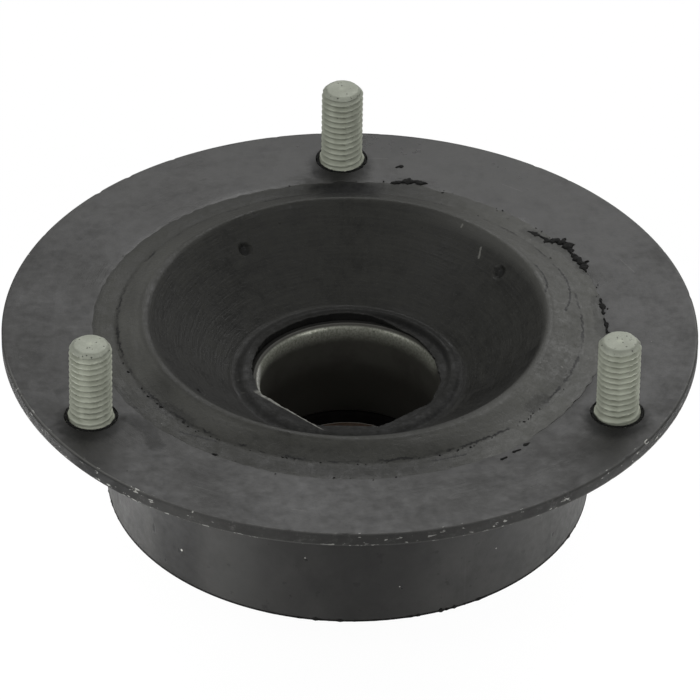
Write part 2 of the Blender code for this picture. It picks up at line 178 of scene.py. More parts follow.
def ripple(angles: Array, seed: int, lowest: int, highest: int, falloff: float = 1.0) -> Array:
    """A smooth random wave round the axis: cosines of whole orders, weaker as the order grows.

    Args:
        angles: Directions round the axis, in radians.
        seed: Seed of the random phases and strengths.
        lowest: Lowest order, waves a turn.
        highest: Highest order.
        falloff: Power of the order that divides each strength.

    Returns:
        The wave at each angle, scaled to a standard deviation of one.
    """
    random = np.random.default_rng(seed)
    orders = np.arange(lowest, highest + 1)
    strengths = random.normal(size=len(orders)) / orders**falloff
    phases = random.uniform(0.0, TURN, len(orders))
    wave = (strengths[:, None] * np.cos(orders[:, None] * angles.reshape(1, -1) + phases[:, None])).sum(0)
    return (wave / wave.std()).reshape(angles.shape)


def bump_at(angles: Array, centre: float, half_width: float) -> Array:
    """One round bump in direction: a bell of the angle's distance from the centre.

    Args:
        angles: Directions round the axis, in radians.
        centre: Direction of the bump's middle, in degrees.
        half_width: Half its width at about six tenths of its height, in degrees.

    Returns:
        Values from 0 to 1.
    """
    away = (angles - math.radians(centre) + math.pi) % TURN - math.pi
    return np.exp(-0.5 * (away / math.radians(half_width)) ** 2)


class Ends(Enum):
    """How a turned surface closes."""

    RING = "ring"
    POLES = "poles"


def grid_arrays(points: Array, ends: Ends) -> Arrays:
    """Points, corners and face sizes of a closed mesh over a grid whose columns run round.

    Quads join neighbouring rows and columns. With RING the last row joins the first, and with POLES
    a fan of triangles closes each end on the mean of its row.

    Args:
        points: Rows by columns by 3.
        ends: How the surface closes.

    Returns:
        Points, corner indices of all faces in a row, and corners of each face.
    """
    rows, columns = points.shape[:2]
    index = np.arange(rows * columns).reshape(rows, columns)
    upper = index if ends is Ends.RING else index[:-1]
    lower = np.roll(index, -1, axis=0) if ends is Ends.RING else index[1:]
    quads = np.stack([upper, lower, np.roll(lower, -1, axis=1), np.roll(upper, -1, axis=1)], axis=-1)
    vertices = points.reshape(-1, 3)
    loops = quads.reshape(-1)
    sizes = np.full(len(loops) // 4, 4)
    if ends is Ends.POLES:
        poles = np.array([points[0].mean(axis=0), points[-1].mean(axis=0)])
        first, last = len(vertices), len(vertices) + 1
        top = np.stack([np.full(columns, first), index[0], np.roll(index[0], -1)], axis=-1)
        bottom = np.stack([np.full(columns, last), np.roll(index[-1], -1), index[-1]], axis=-1)
        vertices = np.concatenate([vertices, poles])
        loops = np.concatenate([loops, top.reshape(-1), bottom.reshape(-1)])
        sizes = np.concatenate([sizes, np.full(2 * columns, 3)])
    return vertices, loops, sizes


def joined(parts: Sequence[Arrays]) -> Arrays:
    """Several meshes' arrays as one, with each mesh's corners counted on from the last.

    Args:
        parts: Arrays of each mesh.

    Returns:
        The arrays of all of them together.
    """
    starts = np.cumsum([0] + [len(part[0]) for part in parts[:-1]])
    loops = [part[1] + start for part, start in zip(parts, starts)]
    vertices = np.concatenate([part[0] for part in parts])
    sizes = np.concatenate([part[2] for part in parts])
    return vertices, np.concatenate(loops), sizes


def raw_mesh(name: str, vertices: Array, loops: Array, sizes: Array) -> Piece:
    """An object from whole arrays of points, corners and face sizes.

    Args:
        name: Name of the object.
        vertices: Points, count by 3.
        loops: Corner indices of all faces in a row.
        sizes: Corners of each face.

    Returns:
        The new object, smooth shaded, in the scene.
    """
    mesh = bpy.data.meshes.new(name)
    mesh.vertices.add(len(vertices))
    mesh.vertices.foreach_set("co", vertices.astype(np.float32).reshape(-1))
    mesh.loops.add(len(loops))
    mesh.loops.foreach_set("vertex_index", loops.astype(np.int32))
    mesh.polygons.add(len(sizes))
    mesh.polygons.foreach_set("loop_start", np.concatenate([[0], np.cumsum(sizes)[:-1]]).astype(np.int32))
    mesh.update(calc_edges=True)
    mesh.validate()
    mesh.shade_smooth()
    obj = bpy.data.objects.new(name, mesh)
    bpy.context.scene.collection.objects.link(obj)
    return obj


class Skin:
    """A turned surface being shaped: radius, height and direction at each row and column."""

    def __init__(self, out: Outline, columns: int) -> None:
        """Turns a section about the axis.

        Args:
            out: The section, whose points are the rows.
            columns: How many directions.
        """
        shape = (len(out.radii), columns)
        self.out = out
        self.around = np.arange(columns) * TURN / columns
        self.radii = np.broadcast_to(out.radii[:, None], shape).copy()
        self.heights = np.broadcast_to(out.heights[:, None], shape).copy()
        self.angles = np.broadcast_to(self.around[None, :], shape)

    def points(self, centre: Point = (0.0, 0.0)) -> Array:
        """Points about an upright axis: radius times the cosine and sine of the direction, and height.

        Args:
            centre: Where the axis stands.

        Returns:
            Rows by columns by 3.
        """
        x = centre[0] + self.radii * np.cos(self.angles)
        y = centre[1] + self.radii * np.sin(self.angles)
        return np.stack([x, y, self.heights], axis=-1)

    def mesh(self, name: str, ends: Ends, centre: Point = (0.0, 0.0)) -> Piece:
        """The surface as a new object."""
        return raw_mesh(name, *grid_arrays(self.points(centre), ends))


def store(obj: Piece, name: str, values: Array) -> None:
    """Stores a value at each point of a grid's mesh; its poles take the last row's mean.

    Args:
        obj: The piece.
        name: Name of the value.
        values: Rows by columns.
    """
    poles = len(obj.data.vertices) - values.size
    flat = np.concatenate([values.reshape(-1), np.full(poles, values[-1].mean())])
    attribute = obj.data.attributes.new(name, "FLOAT", "POINT")
    attribute.data.foreach_set("value", flat.astype(np.float32))


def keep_edges(obj: Piece, degrees: float) -> None:
    """Marks edges sharper than an angle, so that they shade as edges."""
    obj.data.set_sharp_from_angle(angle=math.radians(degrees))


# Shader maths


class Reading:
    """A value read from a shader socket, with arithmetic that adds Math nodes."""

    def __init__(self, net: "Net", socket: Socket) -> None:
        """Wraps a socket of a material's net."""
        self.net = net
        self.socket = socket

    def _maths(self, operation: str, *others: Number) -> "Reading":
        """One Math node on this value and others."""
        return self.net.maths(operation, self, *others)

    def __add__(self, other: Number) -> "Reading":
        """The sum."""
        return self._maths("ADD", other)

    __radd__ = __add__

    def __sub__(self, other: Number) -> "Reading":
        """The difference."""
        return self._maths("SUBTRACT", other)

    def __rsub__(self, other: Number) -> "Reading":
        """The difference, the other way round."""
        return self.net.maths("SUBTRACT", other, self)

    def __mul__(self, other: Number) -> "Reading":
        """The product."""
        return self._maths("MULTIPLY", other)

    __rmul__ = __mul__

    def __truediv__(self, other: Number) -> "Reading":
        """The quotient."""
        return self._maths("DIVIDE", other)

    def __pow__(self, other: Number) -> "Reading":
        """The power."""
        return self._maths("POWER", other)

    def least(self, other: Number) -> "Reading":
        """The smaller of two."""
        return self._maths("MINIMUM", other)

    def most(self, other: Number) -> "Reading":
        """The larger of two."""
        return self._maths("MAXIMUM", other)

    def size(self) -> "Reading":
        """The value without its sign."""
        return self._maths("ABSOLUTE")

    def rise(self, low: float, high: float) -> "Reading":
        """A smooth step: three t squared less two t cubed, t being the share of the way.

        Args:
            low: Value at which it is 0, which may be the larger one.
            high: Value at which it is 1.

        Returns:
            The step, from 0 to 1.
        """
        if low > high:
            return 1.0 - self.rise(high, low)
        node = self.net.node("ShaderNodeMapRange", {"interpolation_type": "SMOOTHSTEP"},
                             {"Value": self, "From Min": low, "From Max": high})
        return Reading(self.net, node.outputs["Result"])

    def band(self, centre: float, half_width: float, soft: float) -> "Reading":
        """1 within a band about a value, falling to 0 over the soft width beyond."""
        return (self - centre).size().rise(half_width + soft, half_width)

    def sway(self, strength: float) -> "Reading":
        """How far a pattern lies off its middle value of one half, times a strength."""
        return (self - 0.5) * strength


class Net:
    """The nodes of one material."""

    def __init__(self, name: str) -> None:
        """Starts a material with its Principled shader.

        Args:
            name: Name of the material.
        """
        self.material = bpy.data.materials.new(name)
        self.material.use_nodes = True
        self.tree = self.material.node_tree
        self.shader = self.tree.nodes["Principled BSDF"]
        self._place: dict[str, Reading] = {}

    def node(self, kind: str, settings: dict, inputs: dict) -> bpy.types.Node:
        """Adds a node.

        Args:
            kind: Node type.
            settings: Its properties, set before its sockets.
            inputs: Values or readings or sockets, by socket name or number.

        Returns:
            The node.
        """
        node = self.tree.nodes.new(kind)
        for key, value in settings.items():
            setattr(node, key, value)
        for key, value in inputs.items():
            self.feed(node.inputs[key], value)
        return node

    def feed(self, socket: Socket, value: object) -> None:
        """Sets a socket's own value, or links it.

        Args:
            socket: The socket to feed.
            value: A value, a colour, a reading or another socket.
        """
        if isinstance(value, Reading):
            self.tree.links.new(value.socket, socket)
        elif isinstance(value, Socket):
            self.tree.links.new(value, socket)
        elif isinstance(value, tuple) and socket.type == "RGBA":
            socket.default_value = (*value, 1.0)
        else:
            socket.default_value = value

    def maths(self, operation: str, *values: Number) -> Reading:
        """A Math node on one or two values."""
        node = self.node("ShaderNodeMath", {"operation": operation}, dict(enumerate(values)))
        return Reading(self, node.outputs[0])

    def place(self) -> dict[str, Reading]:
        """Where a point lies in Object coordinates, read once for each material.

        Returns:
            x, y, z and radius in millimetres, and angle in radians, by name.
        """
        if not self._place:
            coordinates = self.node("ShaderNodeTexCoord", {}, {}).outputs["Object"]
            split = self.node("ShaderNodeSeparateXYZ", {}, {0: coordinates})
            x, y, z = (Reading(self, split.outputs[axis]) * (1.0 / MM) for axis in range(3))
            radius = (x * x + y * y) ** 0.5
            self._place = {"x": x, "y": y, "z": z, "radius": radius, "angle": self.maths("ARCTAN2", y, x)}
        return self._place

    def point(self, x: Number, y: Number, z: Number) -> Socket:
        """A vector from three values."""
        return self.node("ShaderNodeCombineXYZ", {}, {0: x, 1: y, 2: z}).outputs[0]

    def in_space(self) -> Socket:
        """Object coordinates as a vector in millimetres."""
        at = self.place()
        return self.point(at["x"], at["y"], at["z"])

    def polar(self, around: float, outwards: float, up: float) -> Socket:
        """A vector along the arc, the radius and the height, each scaled.

        The direction enters as its cosine and sine, so the pattern has no seam.

        Args:
            around: Scale along the arc.
            outwards: Scale of the radius.
            up: Scale of the height.

        Returns:
            The vector's socket.
        """
        at = self.place()
        flat = self.maths("MAXIMUM", at["radius"], 0.01)
        return self.point(at["x"] / flat * around, at["y"] / flat * around,
                          at["radius"] * outwards + at["z"] * up)

    def noise(self, scale: float, detail: float = 3.0, rough: float = 0.5,
              at: Union[Socket, None] = None) -> Reading:
        """Noise from about 0 to 1.

        Args:
            scale: Lumps a millimetre, or a unit of the given vector.
            detail: How many finer layers.
            rough: Strength of the finer layers.
            at: Where it is read, Object coordinates in millimetres if left out.

        Returns:
            The noise.
        """
        vector = self.in_space() if at is None else at
        inputs = {"Vector": vector, "Scale": scale, "Detail": detail, "Roughness": rough}
        node = self.node("ShaderNodeTexNoise", {}, inputs)
        return Reading(self, node.outputs["Fac"])

    def specks(self, spacing: float, size: float, share: float, shift: float = 0.0) -> Reading:
        """Rare round specks: cells of a random mosaic, a share of which hold a speck.

        Args:
            spacing: Size of a cell, in millimetres.
            size: Radius of a speck, in millimetres.
            share: Share of the cells that hold one.
            shift: Moves the mosaic, so that two layers differ.

        Returns:
            1 on a speck and 0 off it.
        """
        at = self.place()
        vector = self.point(at["x"] + shift, at["y"] + 2.0 * shift, at["z"] + 3.0 * shift)
        inputs = {"Vector": vector, "Scale": 1.0 / spacing}
        cells = self.node("ShaderNodeTexVoronoi", {"feature": "F1"}, inputs)
        away = Reading(self, cells.outputs["Distance"]) * spacing
        pick = self.node("ShaderNodeSeparateColor", {}, {0: cells.outputs["Color"]})
        chosen = Reading(self, pick.outputs[0]).rise(1.0 - share - 0.002, 1.0 - share)
        lumpy = self.noise(1.6 / size, 1.0) - 0.5
        return chosen * (away + lumpy * size).rise(size, 0.6 * size)

    def stored(self, name: str) -> Reading:
        """A value that the mesh stores at its points."""
        return Reading(self, self.node("ShaderNodeAttribute", {"attribute_name": name}, {}).outputs["Fac"])

    def away_from(self, x: float, y: float) -> Reading:
        """Distance over the flange from a point: the root of the summed squares.

        Args:
            x: The point's x, in millimetres.
            y: The point's y, in millimetres.

        Returns:
            The distance, in millimetres.
        """
        at = self.place()
        across, along = at["x"] - x, at["y"] - y
        return (across * across + along * along) ** 0.5

    def stroke(self, path: Path, half_width: float, wander: Reading) -> Reading:
        """A mark along a path over the flange: 1 near its straight pieces and 0 away from them.

        The share of the way along each piece is kept between 0 and 1, and the distance from the
        point at that share is compared with the half width.

        Args:
            path: Points, in millimetres.
            half_width: Half its width, in millimetres.
            wander: Distance added at each place, in millimetres, which makes the mark ragged.

        Returns:
            The mark.
        """
        at = self.place()
        mark = None
        for (x0, y0), (x1, y1) in zip(path[:-1], path[1:]):
            run = (x1 - x0, y1 - y0)
            length = run[0] ** 2 + run[1] ** 2
            across, along = at["x"] - x0, at["y"] - y0
            share = ((across * run[0] + along * run[1]) / length).most(0.0).least(1.0)
            off_x, off_y = across - share * run[0], along - share * run[1]
            near = (off_x * off_x + off_y * off_y) ** 0.5 + wander
            piece = near.rise(half_width * 1.3, half_width * 0.7)
            mark = piece if mark is None else mark.most(piece)
        return mark

    def mix(self, share: Number, first: object, second: object) -> Socket:
        """A colour between two.

        Args:
            share: How much of the second one there is, from 0 to 1.
            first: A colour, or the socket of one.
            second: A colour, or the socket of one.

        Returns:
            The mixed colour's socket.
        """
        node = self.node("ShaderNodeMix", {"data_type": "RGBA"}, {0: share})
        self.feed(node.inputs[6], first)
        self.feed(node.inputs[7], second)
        return node.outputs[2]

    def layers(self, base: object, *laid: tuple[Number, object]) -> object:
        """Lays colours over a base one after another.

        Args:
            base: The colour below, or its socket.
            laid: Share and colour of each layer, the lowest first.

        Returns:
            The socket of the colour on top.
        """
        for share, colour in laid:
            base = self.mix(share, base, colour)
        return base

    def bump(self, height: Reading, depth: float) -> Socket:
        """A normal from a height reading.

        Args:
            height: The height, about 0 to 1.
            depth: What a height of 1 measures, in millimetres.

        Returns:
            The normal's socket.
        """
        node = self.node("ShaderNodeBump", {}, {"Height": height, "Distance": depth * MM, "Strength": 1.0})
        return node.outputs["Normal"]

    def finish(self, **sockets: object) -> Material:
        """Feeds the Principled shader.

        Args:
            sockets: Values or links by socket name, underscores standing for spaces.

        Returns:
            The material.
        """
        for key, value in sockets.items():
            self.feed(self.shader.inputs[key.replace("_", " ")], value)
        return self.material


# Finishes


@dataclass(frozen=True)
class ShellPaint:
    """Satin black electrocoat on pressed steel, worn through at its edges, with painted shadows in front of
    the studs, painted highlights along the edge and painted reflection bands on the skirt.

    Paths of marks are in millimetres over the flange. A mark on the skirt is a direction in degrees,
    a height over the flange and two half sizes in millimetres. An upright band of painted reflection there
    is a direction in degrees, and its half width and the width of its soft edges as angles in radians.
    """

    flange_top: float
    outer_radius: float
    skirt_radius: float
    sheet: float
    studs: tuple[Point, ...]
    colour: Colour = (0.026, 0.0255, 0.024)
    worn: Colour = (0.05, 0.049, 0.046)
    oily: Colour = (0.009, 0.009, 0.0085)
    scored: Colour = (0.11, 0.11, 0.10)
    burnished_and_sheen: Colour = (0.14, 0.14, 0.13)
    scraped: Colour = (0.16, 0.16, 0.15)
    # colour of the painted sheen band on the skirt, and of dust
    dust_and_sheen: Colour = (0.06, 0.06, 0.056)
    # dark colour of grime and of painted shade
    grime_and_shade: Colour = (0.006, 0.006, 0.0055)
    smudged: Colour = (0.008, 0.008, 0.0075)
    gouged: Colour = (0.003, 0.003, 0.003)
    rust: Colour = (0.012, 0.011, 0.01)
    bare: Colour = (0.62, 0.62, 0.58)
    smudge: Path = ((-41.8, -29.2), (-38.1, -33.0), (-36.9, -37.7))
    # darker upright bands on the skirt: a painted reflection
    dark_reflection_bands: tuple[Band, Band] = ((-136.0, 0.06, 0.12), (-86.0, 0.12, 0.15))
    # a lighter upright band on the skirt: a painted sheen
    sheen_band: Band = (-119.0, 0.05, 0.12)
    skirt_nicks: tuple[Mark, ...] = (
        (-144.2, -27.3, 0.35, 0.95), (-135.0, -28.5, 0.40, 0.50), (-139.7, -32.7, 0.25, 0.30),
        (-101.4, -21.3, 0.30, 0.22), (-79.2, -28.1, 0.20, 0.22), (-34.7, -30.0, 0.35, 0.40))
    skirt_flecks: tuple[Mark, ...] = (
        (-134.4, -28.0, 0.22, 0.26), (-79.6, -27.6, 0.12, 0.12), (-101.8, -20.9, 0.14, 0.10))
    scrapes: tuple[Path, ...] = (
        ((-30.2, -50.6), (-26.8, -52.3)), ((-12.4, -57.9), (-9.8, -58.6)), ((31.0, 47.5), (34.8, 44.9)),
        ((52.6, 21.5), (55.0, 17.3)), ((50.8, -22.0), (47.0, -27.2)), ((5.3, 56.8), (8.9, 56.6)))

    def build(self) -> Material:
        """Builds the material.

        Returns:
            The paint, with its mottling, scratches, chips and specks, and its painted shadows, highlights
            and reflections.
        """
        net = Net("shell_paint")
        at = net.place()
        top, rim = self.flange_top / MM, self.outer_radius / MM
        on_top = at["z"].rise(top - 0.25, top - 0.05)
        cloudy = net.noise(0.045, 4.0, 0.55)
        fine = net.noise(0.6, 4.0, 0.6)
        patchy = net.noise(0.16, 5.0, 0.65)
        rubbed_and_sheen = net.noise(1.0, 5.0, 0.7, net.polar(9.0, 3.2, 3.2))
        oily = net.noise(1.0, 4.0, 0.6, net.polar(7.0, 0.20, 0.12))
        arcs = net.noise(1.0, 2.0, 0.5, net.polar(1.2, 5.0, 0.0))
        scratch = (arcs - 0.5).size().rise(0.012, 0.0) * cloudy.rise(0.5, 0.62)
        edge_wear_and_highlight, chips = self.edge_marks(net, on_top)
        grime_and_shadow = self.stud_grime_and_shadow(net)
        ragged = net.noise(1.8, 3.0, 0.7).sway(0.5)
        nicks = self.skirt_marks(net, self.skirt_nicks)
        flecks = self.skirt_marks(net, self.skirt_flecks)
        smudge = net.stroke(self.smudge, 1.6, ragged * 3.0 + patchy.sway(6.0))
        scrapes = [net.stroke(path, 0.10, ragged * 0.4) for path in self.scrapes]
        blots = at["z"].rise(top - 3.0, top - 4.0) * net.noise(0.33, 3.0, 0.6).rise(0.66, 0.69)
        pits = net.specks(7.0, 0.28, 0.06, 21.3)
        dark_reflection, fainter_reflection, dust_and_sheen = (at["angle"].band(math.radians(facing), half_width, soft)
                                 for facing, half_width, soft in (*self.dark_reflection_bands, self.sheen_band))
        metal = chips.most(net.specks(16.0, 0.32, 0.10, 9.7)).most(flecks)
        colour = net.layers(
            self.colour,
            (cloudy.rise(0.35, 0.75) * 0.5, self.worn),
            ((patchy - 0.42).most(0.0) * 1.6, self.worn),
            (oily.rise(0.46, 0.72) * 0.4, self.oily),
            (rubbed_and_sheen.rise(0.55, 0.8) * 0.35, self.worn),
            (scratch * on_top * 0.35, self.scored),
            # worn edge, with painted highlights along its top and lower edges
            (edge_wear_and_highlight * 0.7, self.burnished_and_sheen),
            # painted reflection: darker upright bands on the skirt
            (dark_reflection.most(fainter_reflection * 0.5) * (1.0 - on_top) * 0.8, self.grime_and_shade),
            # painted sheen: a lighter upright band on the skirt
            (dust_and_sheen * (1.0 - on_top) * 0.35, self.dust_and_sheen),
            (pits * 0.8, self.rust),
            # grime round the studs' feet, with the painted shadow that each stud casts forward onto the
            # flange
            (grime_and_shadow * on_top * 0.75, self.grime_and_shade),
            (smudge * on_top * 0.45, self.smudged),
            (blots * 0.5, self.grime_and_shade),
            (nicks * 0.9, self.gouged),
            *((scrape * on_top * 0.18, self.scraped) for scrape in scrapes),
            (metal.most(net.specks(6.0, 0.16, 0.05, 3.1) * 0.6), self.bare))
        haze = at["y"].rise(15.0, -50.0) * 0.055 + at["x"].rise(-38.0, -62.0) * 0.09
        haze = haze + at["x"].rise(45.0, 66.0) * 0.07 - at["y"].rise(28.0, 56.0) * 0.07
        rough = at["radius"].rise(rim - 0.3, rim - 0.1) * 0.22 + 0.46 + cloudy.sway(0.45) + fine.sway(0.42)
        rough = rough - scratch * 0.08 + patchy.sway(0.34) + oily.sway(0.12) + haze * on_top
        rough = rough + rubbed_and_sheen.sway(0.14) + (grime_and_shadow + smudge * 0.5) * on_top * 0.2
        relief = fine * 0.35 + net.noise(2.4, 2.0, 0.5) * 0.22 - scratch * 0.3 - pits * 1.2 - chips * 0.9
        relief = relief + patchy * 0.25 - nicks * 2.0 + flecks
        return net.finish(Base_Color=colour, Roughness=rough, Metallic=metal * 0.85,
                          Normal=net.bump(relief, 0.045))

    def edge_marks(self, net: Net, on_top: Reading) -> tuple[Reading, Reading]:
        """Wear round the flange's edge, where the pressing has been knocked about, with painted highlights
        along its top and lower edges.

        Args:
            net: The material's nodes.
            on_top: 1 on the flange's top face.

        Returns:
            Where the paint is worn thin together with the painted highlights, and where it is chipped down
            to the steel.
        """
        at = net.place()
        rim, low = self.outer_radius / MM, (self.flange_top - self.sheet) / MM
        edge = at["radius"].band(rim, 0.45, 0.35)
        lower = edge * at["z"].band(low + 0.15, 0.12, 0.2)
        left = at["x"].rise(-25.0, -50.0) * at["y"].rise(-5.0, -15.0)
        right = at["x"].rise(10.0, 22.0) * at["y"].rise(-35.0, -45.0)
        side = net.noise(0.030, 2.0, 0.5).rise(0.45, 0.62).most(left * 0.55).most(right)
        # the continuous light line along the lower edge is a painted highlight
        wear = (edge * net.noise(0.55, 4.0, 0.75).rise(0.52, 0.72) * 0.6).most(lower * 0.55)
        # a painted highlight along the top edge, strongest on the left
        top_highlight = at["radius"].band(rim - 0.25, 0.16, 0.12) * on_top
        wear = wear.most(top_highlight * left.most(0.25) * 0.9)
        long_chips = net.noise(1.0, 2.5, 0.62, net.polar(30.0, 1.3, 1.3)).rise(0.64, 0.68)
        low_chips = net.noise(1.0, 3.0, 0.65, net.polar(34.0, 1.0, 1.6)).rise(0.61, 0.67)
        return wear, (edge * long_chips * side).most(lower * low_chips) * 0.75

    def stud_grime_and_shadow(self, net: Net) -> Reading:
        """Ragged dark patches round the studs' feet, set towards the front: grime, and the painted shadow
        that each stud casts forward.

        Args:
            net: The material's nodes.

        Returns:
            1 in a patch and 0 off it.
        """
        grime_and_shadow = 0.0
        for x, y in self.studs:
            # each patch sits a little in front of its stud: grime with a painted shadow
            ring = net.away_from(x / MM - 0.3, y / MM - 2.2) + net.noise(0.5, 3.0, 0.6).sway(2.4)
            grime_and_shadow = ring.rise(7.4, 4.8).most(grime_and_shadow)
        return grime_and_shadow

    def skirt_marks(self, net: Net, marks: tuple[Mark, ...]) -> Reading:
        """Small marks on the skirt, each an ellipse about a direction and a height.

        Args:
            net: The material's nodes.
            marks: Direction in degrees, height over the flange and two half sizes in millimetres.

        Returns:
            1 on a mark and 0 off it.
        """
        at = net.place()
        top = self.flange_top / MM
        wander = net.noise(1.6, 3.0, 0.7).sway(1.2)
        found = None
        for degrees, height, half_width, half_height in marks:
            across = (at["angle"] - math.radians(degrees)) * (self.skirt_radius / MM / half_width)
            over = (at["z"] - (top + height)) / half_height
            mark = ((across * across + over * over) ** 0.5 + wander).rise(1.3, 0.7)
            found = mark if found is None else found.most(mark)
        return found * at["z"].rise(top - 3.0, top - 4.0)


@dataclass(frozen=True)
class MouldedRubber:
    """Black moulded rubber with dust where it stands proud, painted light on its side flanks, and painted
    shade round the torn flakes and in the pin marks. Paths of marks are in millimetres.
    """

    flange_top: float
    crest_radius: float
    crease_radius: float
    bright_cut: Point
    colour: Colour = (0.012, 0.012, 0.0105)
    dust_and_sheen: Colour = (0.052, 0.052, 0.045)
    rubbed_and_sheen: Colour = (0.11, 0.11, 0.10)
    # colour of the painted light on the side flanks, with some dust
    speckled: Colour = (0.35, 0.35, 0.32)
    scratched: Colour = (0.20, 0.20, 0.18)
    cut_highlight: Colour = (0.26, 0.26, 0.235)
    shaded: Colour = (0.004, 0.004, 0.004)
    smear_and_shade: Colour = (0.006, 0.006, 0.0055)
    darkened: Colour = (0.008, 0.008, 0.007)
    trimmed: Colour = (0.007, 0.007, 0.0065)
    gloss: float = 0.30
    shade: Point = (0.6, 44.5)
    cracks: tuple[Path, ...] = (
        ((40.6, 17.9), (41.9, 14.2), (42.3, 10.1), (42.0, 6.3), (41.0, 2.6)),
        ((36.0, 16.8), (37.4, 13.6), (37.9, 10.4), (37.4, 7.2)),
        ((-45.5, -22.6), (-43.0, -25.0), (-40.6, -26.2)), ((-32.6, -33.9), (-29.4, -35.4), (-25.8, -37.1)),
        ((14.0, -43.6), (17.5, -42.6), (20.3, -41.6)))
    scratches: tuple[Path, ...] = (
        ((25.9, 25.3), (25.5, 23.8)), ((22.3, 30.4), (22.5, 30.6)), ((39.4, -15.1), (39.5, -15.3)),
        ((-20.6, -5.6), (-20.1, -5.8)), ((-21.2, -1.6), (-21.1, -1.7)))
    # dark smears; the first three are painted shade at a pin mark and round the torn flakes
    smears_and_shadows: tuple[Path, ...] = (
        ((-29.6, -17.2), (-28.3, -18.8)), ((35.2, 30.8), (39.4, 26.8), (42.6, 24.6), (45.4, 17.6)),
        ((47.4, 8.6), (48.0, -2.6)), ((33.0, -27.6), (35.6, -24.6)), ((-36.0, -26.0), (-30.6, -31.4)))

    def build(self) -> Material:
        """Builds the material.

        Returns:
            The rubber, with flow marks, scuffs, dust and specks, painted light on the side flanks and
            painted shade in places.
        """
        net = Net("moulded_rubber")
        at = net.place()
        radius, crest, crease = at["radius"], self.crest_radius / MM, self.crease_radius / MM
        height = at["z"] - self.flange_top / MM
        cloudy = net.noise(0.06, 4.0, 0.6)
        fine = net.noise(1.1, 4.0, 0.6)
        flow = net.noise(1.0, 4.0, 0.6, net.polar(3.0, 1.1, 1.6))
        blotch = net.noise(0.28, 5.0, 0.65)
        ragged = net.noise(1.3, 3.0, 0.7).sway(0.8)
        # dust together with painted light on the film, the side flanks and the right shoulder
        dust, side_dust_and_sheen = self.dust_and_painted_light(net, height, flow)
        seam = (radius + net.noise(0.7, 3.0, 0.7).sway(1.6)).band(crease - 0.5, 0.10, 0.22)
        seam = seam * net.noise(0.16, 3.0, 0.6).rise(0.42, 0.55)
        shade = (net.away_from(*self.shade) + net.noise(0.4, 3.0, 0.6).sway(7.0)).rise(9.5, 2.5)
        shade = shade * radius.rise(crest + 0.1, crest + 1.0)
        hairs = (net.noise(1.0, 2.0, 0.4, net.polar(14.0, 0.7, 0.9)) - 0.5).size().rise(0.010, 0.0)
        cut = height.rise(-11.2, -11.45) * radius.rise(19.0, 19.3) * radius.rise(21.2, 20.6)
        rim_zone = radius.rise(22.8, 21.6)
        share = cloudy.rise(0.35, 0.75) * 0.12 + dust + blotch.sway(0.75) + fine.sway(0.42)
        # darker towards the front and the left of the bowl
        darkened = at["y"].rise(2.0, -20.0) * 0.26 + at["x"].rise(-4.0, -26.0) * 0.08
        share = share + flow.sway(0.48) + 0.22 - radius.rise(crest - 1.0, crest - 3.0) * darkened
        smear_edge = ragged * 2.0 + blotch.sway(3.0)
        colour = net.layers(
            self.colour,
            (share, self.dust_and_sheen),
            # painted light on the two sides' flanks and the right shoulder
            (side_dust_and_sheen * 0.55, self.rubbed_and_sheen),
            (hairs * 0.25, self.dust_and_sheen),
            (net.specks(3.4, 0.10, 0.05, 5.2) * 0.7, self.speckled),
            (shade * 0.9, self.shaded),
            (seam * 0.9, self.shaded),
            # dark smears, the first three of them painted shade at a pin mark and round the torn flakes
            *((net.stroke(path, 1.3, smear_edge) * 0.38, self.smear_and_shade) for path in self.smears_and_shadows),
            *((net.stroke(path, 0.20, ragged) * 0.85, self.shaded) for path in self.cracks),
            *((net.stroke(path, 0.20, ragged * 0.5) * 0.6, self.scratched) for path in self.scratches),
            # painted shade in the pin marks
            (net.stored("pressed") * 0.7, self.smear_and_shade),
            # darker near the rim
            (rim_zone * 0.75, self.darkened),
            (cut * 0.8, self.trimmed),
            # painted highlight on the cut face
            (self.cut_face(net, height, ragged), self.cut_highlight))
        rough = 0.52 + cloudy.sway(0.40) + blotch.sway(0.60) + fine.sway(0.48)
        rough = rough + (rim_zone * 0.18 + cut * 0.1) + shade * 0.30
        relief = fine * 0.60 + flow * 0.6 + net.specks(5.5, 0.28, 0.10, 17.9) * 0.9 + hairs * 0.10
        relief = relief + cloudy * 0.5 + blotch * 0.9
        return net.finish(Base_Color=colour, Roughness=rough, Specular_IOR_Level=self.gloss,
                          Normal=net.bump(relief, 0.13))

    def dust_and_painted_light(self, net: Net, height: Reading, flow: Reading) -> tuple[Reading, Reading]:
        """Dust on the crest, its flank and the film, and painted light: the film lighter at the two sides
        than at the front and back, and the side flanks and the crest's right shoulder painted lighter where
        the light falls.

        Args:
            net: The material's nodes.
            height: Height over the flange, in millimetres.
            flow: The flow marks, from 0 to 1.

        Returns:
            Share of dust and painted light over the whole, and the painted light of the two sides' flanks
            and the right shoulder.
        """
        at = net.place()
        radius, crest, crease = at["radius"], self.crest_radius / MM, self.crease_radius / MM
        beside = (at["x"] / radius) * (at["x"] / radius)
        above = height.rise(-0.5, 0.0)
        scuff = net.noise(0.7, 5.0, 0.75, net.polar(22.0, 2.0, 2.0)).rise(0.6, 0.72)
        # painted light: the film lighter at the two sides and darker at the front and back
        film = radius.rise(crease - 0.8, crease + 1.4) * height.rise(0.0, 0.1) * (beside * 0.60 - 0.24)
        crest_dust = radius.band(crest + 0.5, 0.45, 1.5) * height.rise(0.0, 1.6)
        share = crest_dust * 0.26 + radius.rise(crest, crest + 2.5) * above * 0.26 + scuff * 0.10 + film
        flank = radius.rise(crest - 0.6, crest + 1.2) * radius.rise(crease + 0.2, crease - 1.2)
